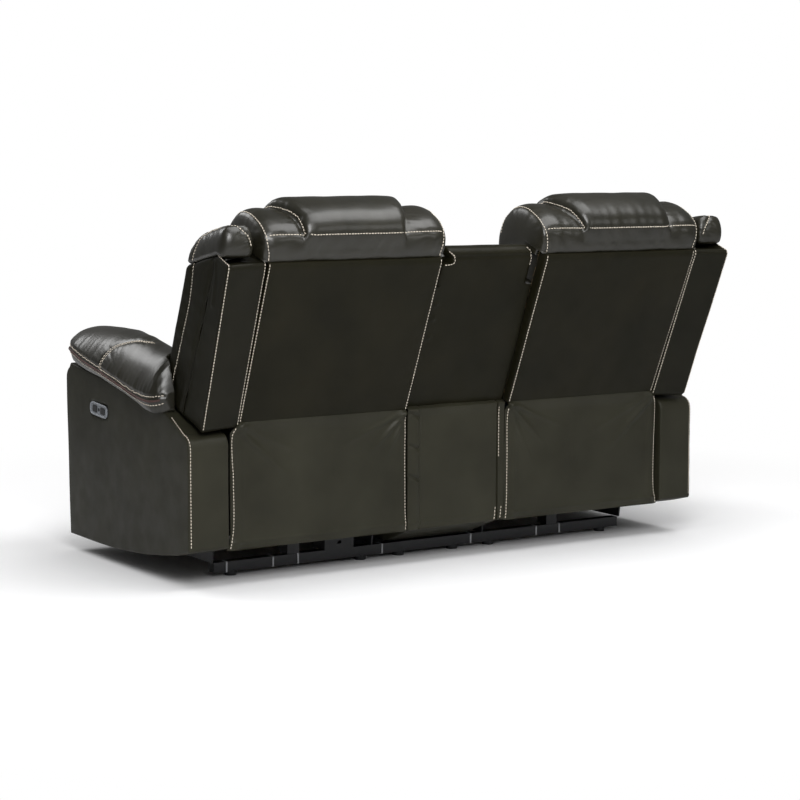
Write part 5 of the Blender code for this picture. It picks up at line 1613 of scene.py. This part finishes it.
@dataclass
class Console(Upholstery):
    """The middle console: cover, lined bin, tall back and its flap."""

    half_width: float = 0.150
    bin_low: tuple = (-0.1262, -0.2012, 0.32)
    bin_high: tuple = (0.1262, 0.0562, 0.541)
    back_low: float = 0.4606
    back_top: float = 0.945
    back_thickness: float = 0.090
    back_inset: float = 0.022      # the rear face lies ahead of the seats' outside backs
    roll: float = 0.026
    notch: tuple = ((0.897, 0.124), (0.906, 0.122), (0.914, 0.124), (0.932, 0.142),
                    (0.944, 0.156))      # the notch's edge, as (z, x)
    notch_depth: float = 0.034
    hide_spread: tuple = (0.0215, 0.006)   # past each side, below the headrests and above
    headrest_z: float = 0.83
    crease_z: float = 0.915
    dimple_x: float = 0.148
    dimples: tuple = (0.777, 0.735, 0.681)
    flap_z: tuple = (0.474, 0.108)
    flap_half: float = 0.175
    flap_y: float = 0.2925
    groove_x: float = -0.1475
    strip_x: float = 0.131
    pinches: tuple = (0.447, 0.352, 0.262)

    def build(self) -> None:
        """Build the cover, the back and the flap."""
        self.cover()
        self.back()
        self.flap()

    def cover(self) -> None:
        """The box under the lid, its edges rounded, its bin lined."""
        mesh = frame["nodes"]["console_box"].data.copy()
        mesh.name = "console_cover"
        made = linked("console_cover", mesh)
        for kind, settings in (
                ("WELD", {"merge_threshold": 0.00005}),
                ("DECIMATE", {"decimate_type": "DISSOLVE", "angle_limit": math.radians(1.0)}),
                ("BEVEL", {"width": 0.004, "segments": 3, "limit_method": "ANGLE",
                           "angle_limit": math.radians(40.0)})):
            modifier = made.modifiers.new(kind.lower(), kind)
            for key, value in settings.items():
                setattr(modifier, key, value)
        bpy.context.view_layer.update()
        shaped = made.evaluated_get(bpy.context.evaluated_depsgraph_get())
        final = bpy.data.meshes.new_from_object(shaped)
        made.modifiers.clear()
        made.data = final
        final.shade_smooth()
        final.set_sharp_from_angle(angle=math.radians(35.0))
        final.materials.clear()
        final.materials.append(self.finishes["side"])
        final.materials.append(self.finishes["lining"])
        for polygon in final.polygons:
            polygon.material_index = int(all(low < spot < high for low, spot, high in zip(
                self.bin_low, polygon.center, self.bin_high)))
        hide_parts("console_box")
        ridden(made, Slot.SIDE, "base")

    def rear(self, z: Array | float) -> Array | float:
        """The back's rear face at a height, as Y."""
        return (PIVOT_Y + PANEL_OUT / math.cos(LEAN) - self.back_inset
                + (z - PIVOT_Z) * math.tan(LEAN))

    def back(self) -> None:
        """The tall back between the seats, with a padded roll along its top."""
        rear, radius = self.rear, self.roll
        depth = self.back_thickness / math.cos(LEAN)
        level = self.back_top - radius
        turn = np.linspace(0, math.pi / 2, 8)
        roll = np.column_stack((rear(level) - radius + radius * np.cos(turn),
                                level + radius * np.sin(turn)))
        nose = np.column_stack((rear(level) - depth + radius - radius * np.sin(turn),
                                level + radius * np.cos(turn)))
        face = [(rear(z), z) for z in np.linspace(self.back_low, level - 0.002, 60)]
        front = [(rear(z) - depth, z) for z in np.linspace(level - 0.002, self.back_low, 30)]
        outline = looped(np.vstack((face, roll, nose, front)), 300)
        behind = outline[:, 0] > rear(outline[:, 1]) - 0.009
        # The hide's edges run out to the seats' frames below the headrests
        low_spread, high_spread = self.hide_spread
        low = behind & (outline[:, 1] < self.headrest_z)
        spread = np.where(low, low_spread, high_spread * behind)
        middle = np.array((rear(0.7) - depth / 2, 0.70))
        rings = []
        for x in between((-self.half_width, self.half_width), graded(74, 0.35)):
            near = max(0.0, 1 - (self.half_width - abs(x)) / 0.014)
            inset = np.where(spread > 0.01, 0.0, 0.012 * near ** 2.2)[:, None]
            ring = outline - (outline - middle) * inset / 0.10
            rings.append(np.column_stack((x * (1 + spread / self.half_width), ring)))
        skin = Skin.loft(rings, 0.0, 14)
        crease_y = rear(self.crease_z) + MILLIMETRE
        crease = np.array([(x, crease_y, self.crease_z) for x in np.linspace(-0.15, 0.13, 6)])
        skin.sewn(Seam(crease, 0.004, 0.005, 0.0008, 0.02, 0.05, 95))
        # A notch at the upper left, where the hide is tucked in beside the headrest
        x, z = skin.points[:, 0], skin.points[:, 2]
        within = ramp(x - shares(self.notch, z), 0.006) * ramp(z - 0.896, 0.004)
        skin.points[:, 1] -= self.notch_depth * within * (skin.points[:, 1] > rear(z) - 0.045)
        dimples = np.zeros(len(skin.points))
        for height in self.dimples:
            spot = (self.dimple_x, rear(height), height)
            far = np.linalg.norm(skin.points - spot, axis=1)
            dimples += 0.005 * bell(far, 0.010) - 0.003 * bell(far, 0.022)
        skin.pushed(dimples)
        skin.crumpled(0.0015, (0.12, 0.12, 0.2), 2.9)
        left = [(x - 0.003, rear(z) + 0.001, z) for z, x in self.notch[::-1]]
        self.sew(skin, (
            [(-0.136, rear(0.94) - 0.012, 0.944), (-0.149, rear(0.925), 0.928),
             (-0.153, rear(0.90), 0.905), (-0.152, rear(0.885) - 0.004, 0.885)],
            [*left, (0.150, rear(0.892), 0.892)]))
        self.dress(skin, "console_back_cover", Slot.REAR, "base", "console_back", 0.95)

    def flap(self) -> None:
        """The console's rear flap: folded over at the top, with a tucked strip at each side."""
        z = between(self.flap_z, np.linspace(0, 1, 120)[:, None])
        x = self.flap_half * np.linspace(-1, 1, 170)
        y = self.flap_y + 0.003 * ramp(z - 0.44, 0.026)
        y = y - 0.026 * ramp(z - 0.464, 0.010) ** 1.4
        # A black groove parts the right strip, which lies a step lower
        y = y - 0.004 * ramp(self.groove_x + MILLIMETRE - x, 0.002)
        y -= 0.013 * bell(x - self.groove_x, 0.0028, 4)
        # The left strip is a loose fold with three pinches
        from_strip = x - self.strip_x
        strip = ramp(from_strip, 0.003) * ramp(0.176 - x, 0.006)
        pinch = sum(bell(z - 0.33 * (x - 0.15) - height, 0.006) for height in self.pinches)
        round_strip = np.sin(math.pi * ramp(from_strip, 0.045))
        y += strip * (0.0050 * round_strip - 0.006 * pinch)
        y -= 0.0025 * bell(from_strip, 0.0025)
        y += 0.0015 * bell(z - 0.128, 0.004)
        skin = sheet_skin(x, y, z).crumpled(0.0015, (0.06, 0.1, 0.16), 7.9)
        self.sew(skin, (
            [(-0.1545, 0.2885, z) for z in (0.455, 0.38, 0.30)],
            [(-0.166, 0.2885, 0.150), (-0.163, 0.2885, 0.130), (-0.161, 0.288, 0.112)],
            [(-0.142, self.flap_y, 0.150), (-0.139, self.flap_y, 0.130), (-0.137, 0.292, 0.110)],
            [(0.146, self.flap_y, 0.130), (0.150, self.flap_y, 0.120), (0.156, 0.292, 0.110)]))
        made = self.dress(skin, "console_flap", Slot.SIDE, "base", "console_tailgate")


@dataclass
class ConsoleLid(Upholstery):
    """The console's padded lid with a sewn border."""

    form: Stuffed = Stuffed(
        ((0.02, 0.0), (0.0, 0.20), (0.01, 0.55), (0.05, 0.80), (0.14, 0.93), (0.30, 0.99),
         (0.55, 1.0), (0.80, 0.97), (0.93, 0.85), (0.985, 0.60), (1.0, 0.20), (0.995, 0.0),
         (0.5, 0.0)), 110, 70, 0.6,
        ((0, 0.86), (0.02, 0.94), (0.08, 0.985), (0.25, 1.0)),
        (-0.150, 0.150), (-0.235, 0.0794), (0.5453, 0.6203), (0.5, 0.0),
        (0.0, 0.0), (1.02, 1.02))
    border: float = 0.045

    def build(self) -> None:
        """Build the lid and sew each border before the next is pressed."""
        skin = Skin.loft(self.form.rings(lambda outline, across, size: (
            0.97 + 0.03 * size, size)), 0.002, 4)
        for number, x in enumerate(self.form.panel(self.border), 91):
            guide = [(x, -0.232, 0.585), (x, -0.20, 0.618), (x, -0.08, 0.62),
                     (x, 0.05, 0.615), (x, 0.075, 0.58)]
            skin.sewn(*quilting([guide], number, 0.004, 0.008, 0.002, 0.03, 0.02))
            self.sew(skin, [guide])
        skin.crumpled(0.002, (0.1, 0.1, 0.1), 3.3)
        self.dress(skin, "console_lid_cover", Slot.SOFT, "lid", "console_lid", 0.8)


# ---------------------------------------------------------------- fittings


@dataclass
class Fittings:
    """Small hard pieces: switch rims and ports, and cable ties."""

    finishes: dict[str, bpy.types.Material]
    tie_xs: tuple = (0.6957, 0.5420, 0.4577, 0.1653, -0.1591, -0.4107, -0.5015)
    tie_half: float = 0.0165
    rail: tuple = (0.1235, 0.027)
    switch: tuple = (-0.260, 0.453)
    switch_tilt: float = math.radians(-4.0)
    # The CAD's hard nodes, by words in their names
    bare: tuple = (
        ("steel", ("side_plate", "_links", "footrest_frame", "rail")),
        ("zinc", ("springs", "drive_block", "cup_holder")),
        ("plastic", ("actuator", "switch_button", "power_supply")),
        ("face", ("switch_plate",)),
        ("board", ("seat_box", "footrest_board", "back_frame")))

    def hard(self, skin: Skin, name: str, finish: str, slot: Slot) -> None:
        """Make a hard piece that rides on the base."""
        ridden(skin.piece(name, self.finishes[finish]), slot, "base")

    def ties(self) -> None:
        """Nylon cable ties round the rear rail."""
        half, count = self.tie_half, 48
        loop = rounded_outline([(-half, -half), (half, -half), (half, half), (-half, half)],
                               (0.004,) * 4, count)
        sections = [self.rail + loop * swell for swell in (0.9, 1.0, 1.0, 0.9)]
        index = np.arange(4 * count).reshape(4, count)
        ahead, above = np.roll(index, -1, axis=1), np.roll(index, -1, axis=0)
        quads = np.stack((index, ahead, np.roll(ahead, -1, axis=0), above), axis=-1)
        for number, x in enumerate(self.tie_xs, 1):
            rings = stacked(x + np.array((-0.0022, -0.0022, 0.0022, 0.0022)), sections)
            skin = Skin(rings.reshape(-1, 3), quads.reshape(-1, 4)).facing_out()
            self.hard(skin, f"rail_tie_{number}", "nylon", Slot.GREY)

    def turned(self, points: Array, x: float) -> Array:
        """Leave the switch plate's own frame.

        Args:
            points: Points along and across the plate.
            x: Where they stand out to.

        Returns:
            The points in the row frame.
        """
        sine, cosine = math.sin(self.switch_tilt), math.cos(self.switch_tilt)
        y = self.switch[0] + points[:, 0] * cosine - points[:, 1] * sine
        z = self.switch[1] + points[:, 0] * sine + points[:, 1] * cosine
        return np.column_stack((np.full(len(points), x), y, z))

    def plate(self, side: Side) -> None:
        """Make a switch plate's lacquered rim and round port.

        Args:
            side: The arm's side.
        """
        outline = rounded_outline([(-0.0565, -0.018), (0.0565, -0.018), (0.0565, 0.018),
                                   (-0.0565, 0.018)], (0.0175,) * 4, 96)
        rim = self.turned(outline * (0.985, 0.95), 0.9040)
        self.hard(tube(np.vstack((rim, rim[:1])), 0.0026).on(side),
                  f"{side.label}_switch_rim", "silver", Slot.GREY)
        turn = np.linspace(0, 2 * math.pi, 24, endpoint=False)
        circle = np.column_stack((np.cos(turn), np.sin(turn)))
        rings = [self.turned(circle * radius, x) for radius, x in (
            (0.0052, 0.9036), (0.0052, 0.9044), (0.0046, 0.9048), (0.0030, 0.9048),
            (0.0028, 0.9040))]
        self.hard(Skin.loft(rings, 0.0, 1).on(side), f"{side.label}_switch_port", "plastic",
                  Slot.PLASTIC)

    def metal(self) -> None:
        """Give the CAD's hard nodes their finishes."""
        for name, node in frame["nodes"].items():
            for finish, words in self.bare:
                if any(word in name for word in words):
                    node.data.materials.clear()
                    node.data.materials.append(self.finishes[finish])


# ---------------------------------------------------------------- studio


@dataclass
class Studio:
    """The pale floor, the soft lamps and the camera at the photograph's angle.

    Each lamp gives its name, its place, what it points at, its width and height, and its
    power in watts.
    """

    eye: tuple = (3.614, 5.524, 1.235)
    yaw_deg: float = 33.0
    pitch_deg: float = 6.548
    roll_deg: float = 0.159
    focal_px: float = 2159.1
    image_px: float = 800.0
    centre_px: tuple = (396.0, 392.0)
    sensor_mm: float = 36.0
    lamps: tuple = (
        ("top_softbox", (-0.5, 1.2, 3.1), (-0.3, 0.3, 0.5), (3.0, 1.8), 66.0),
        ("left_softbox", (1.9, 3.3, 2.5), (0.5, 0.2, 0.4), (1.6, 1.3), 90.0),
        ("rear_softbox", (-2.2, 4.4, 2.0), (0.0, 0.2, 0.6), (2.4, 1.4), 20.0),
        ("front_softbox", (2.1, -2.6, 3.0), (0.4, 0.0, 0.6), (2.0, 1.7), 48.0))
    floor_half: float = 14.0

    def camera(self) -> None:
        """Set the camera."""
        yaw, pitch = math.radians(self.yaw_deg), math.radians(self.pitch_deg)
        ahead = Vector((-math.sin(yaw) * math.cos(pitch), -math.cos(yaw) * math.cos(pitch),
                        -math.sin(pitch)))
        across = Vector((-math.cos(yaw), math.sin(yaw), 0.0))
        over = across.cross(ahead)
        roll = math.radians(self.roll_deg)
        right = across * math.cos(roll) + over * math.sin(roll)
        up = over * math.cos(roll) - across * math.sin(roll)
        data = bpy.data.cameras.new("camera")
        data.sensor_width = self.sensor_mm
        data.lens = self.focal_px / self.image_px * data.sensor_width
        data.shift_x = (self.image_px / 2 - self.centre_px[0]) / self.image_px
        data.shift_y = (self.centre_px[1] - self.image_px / 2) / self.image_px
        made = linked("camera", data)
        turn = Matrix((right, up, -ahead)).transposed().to_4x4()
        made.matrix_world = Matrix.Translation(self.eye) @ turn
        bpy.context.scene.camera = made

    def light(self) -> None:
        """Hang the softboxes and set the plain world."""
        for name, place, aim, size, power in self.lamps:
            data = bpy.data.lights.new(name, "AREA")
            data.shape = "RECTANGLE"
            data.size, data.size_y = size
            data.energy = power
            made = linked(name, data)
            made.location = place
            made.rotation_euler = (Vector(aim) - Vector(place)).to_track_quat("-Z", "Y").to_euler()
        world = bpy.data.worlds.new("studio")
        bpy.context.scene.world = world
        add = adder(world)
        rays = add("LightPath")
        shown = add("Math", {"operation": "MAXIMUM"},
                    {0: rays.outputs["Is Camera Ray"], 1: rays.outputs["Is Transmission Ray"]})
        fill = add("Background", {"Color": WHITE, "Strength": 0.14})
        white = add("Background", {"Color": WHITE, "Strength": 1.0})
        both = add("MixShader", None,
                   {0: shown.outputs[0], 1: fill.outputs[0], 2: white.outputs[0]})
        add("OutputWorld", None, {"Surface": both.outputs[0]})

    def floor(self) -> None:
        """Lay the plain pale floor, with painted shade under the loveseat."""
        half = self.floor_half
        mesh = bpy.data.meshes.new("floor")
        mesh.from_pydata([(-half, -half, 0), (half, -half, 0), (half, half, 0), (-half, half, 0)],
                         [], [(0, 1, 2, 3)])
        material = bpy.data.materials.new("painted_floor_matt")
        add = adder(material)
        rays = add("LightPath")
        place = add("TexCoord").outputs["Object"]
        tooth = add("TexNoise", {"Scale": 4.0, "Detail": 2.0}, {"Vector": place})
        tone = add("Mix", {"data_type": "RGBA", 6: linear("#e4e4e5"), 7: linear("#eaeaeb")},
                   {0: tooth.outputs["Fac"]})
        matt = add("BsdfDiffuse", None, {"Color": tone.outputs[2]})
        # Away from the loveseat the floor runs out into the white backdrop
        distance = add("VectorMath", {"operation": "LENGTH"}, {0: place})
        fade = add("MapRange",
                   {"interpolation_type": "SMOOTHSTEP", "From Min": 1.1, "From Max": 2.6},
                   {"Value": distance.outputs["Value"]})
        # Its glow fades out by ambient occlusion: painted shade on the floor under and near the
        # loveseat
        painted_shade_ao = add("AmbientOcclusion", {"Distance": 0.7})
        unshaded_share = add("Math", {"operation": "POWER", 1: 2.0}, {0: painted_shade_ao.outputs["AO"]})
        glow_level = add("Math", {"operation": "MULTIPLY", 1: 0.42}, {0: unshaded_share.outputs[0]})
        glow = add("Emission", {"Color": WHITE}, {"Strength": glow_level.outputs[0]})
        lit = add("AddShader", None, {0: matt.outputs[0], 1: glow.outputs[0]})
        white = add("Emission", {"Color": WHITE, "Strength": 1.0})
        shown = add("MixShader", None,
                    {0: fade.outputs["Result"], 1: lit.outputs[0], 2: white.outputs[0]})
        both = add("MixShader", None, {0: rays.outputs["Is Camera Ray"], 1: matt.outputs[0],
                                       2: shown.outputs[0]})
        add("OutputMaterial", None, {"Surface": both.outputs[0]})
        mesh.materials.append(material)
        linked("floor", mesh)

    def build(self) -> None:
        """Set the whole studio."""
        self.camera()
        self.light()
        self.floor()
        bpy.context.scene.view_settings.view_transform = "Standard"


def build_seat(finishes: dict[str, bpy.types.Material], side: Side) -> None:
    """Dress one seat.

    Args:
        finishes: The loveseat's finishes.
        side: The seat's side.
    """
    base, back, rest, flap = (Sewing(f"{side.label}_{part}_stitching")
                              for part in ("seat", "back", "footrest", "flap"))
    for kind, sewing in ((SeatCushion, base), (ArmBox, base), (ArmPad, base),
                         (FootrestPad, rest), (BackCushion, back), (Headrest, back),
                         (Wing, back), (ShoulderPillow, back), (OutsideBack, back),
                         (Tailgate, flap)):
        kind(finishes, sewing, side).build()
    for sewing, body in ((base, "base"), (back, f"{side.label}_back"),
                         (rest, f"{side.label}_footrest")):
        ridden(sewing.finish(finishes["thread"]), Slot.SOFT, body)


def main() -> None:
    """Build the studio, then dress the loveseat piece by piece."""
    logging.basicConfig(level=logging.INFO, format="%(message)s")
    Studio().build()
    finishes = {key: recipe.make() for key, recipe in FINISHES.items()}
    fittings = Fittings(finishes)
    fittings.metal()
    for side in Side:
        build_seat(finishes, side)
        fittings.plate(side)
    fittings.ties()
    base, lid = Sewing("console_stitching"), Sewing("lid_stitching")
    Console(finishes, base).build()
    ConsoleLid(finishes, lid).build()
    for sewing, body in ((base, "base"), (lid, "lid")):
        ridden(sewing.finish(finishes["thread"]), Slot.SOFT, body)


if __name__ == "__main__":
    main()
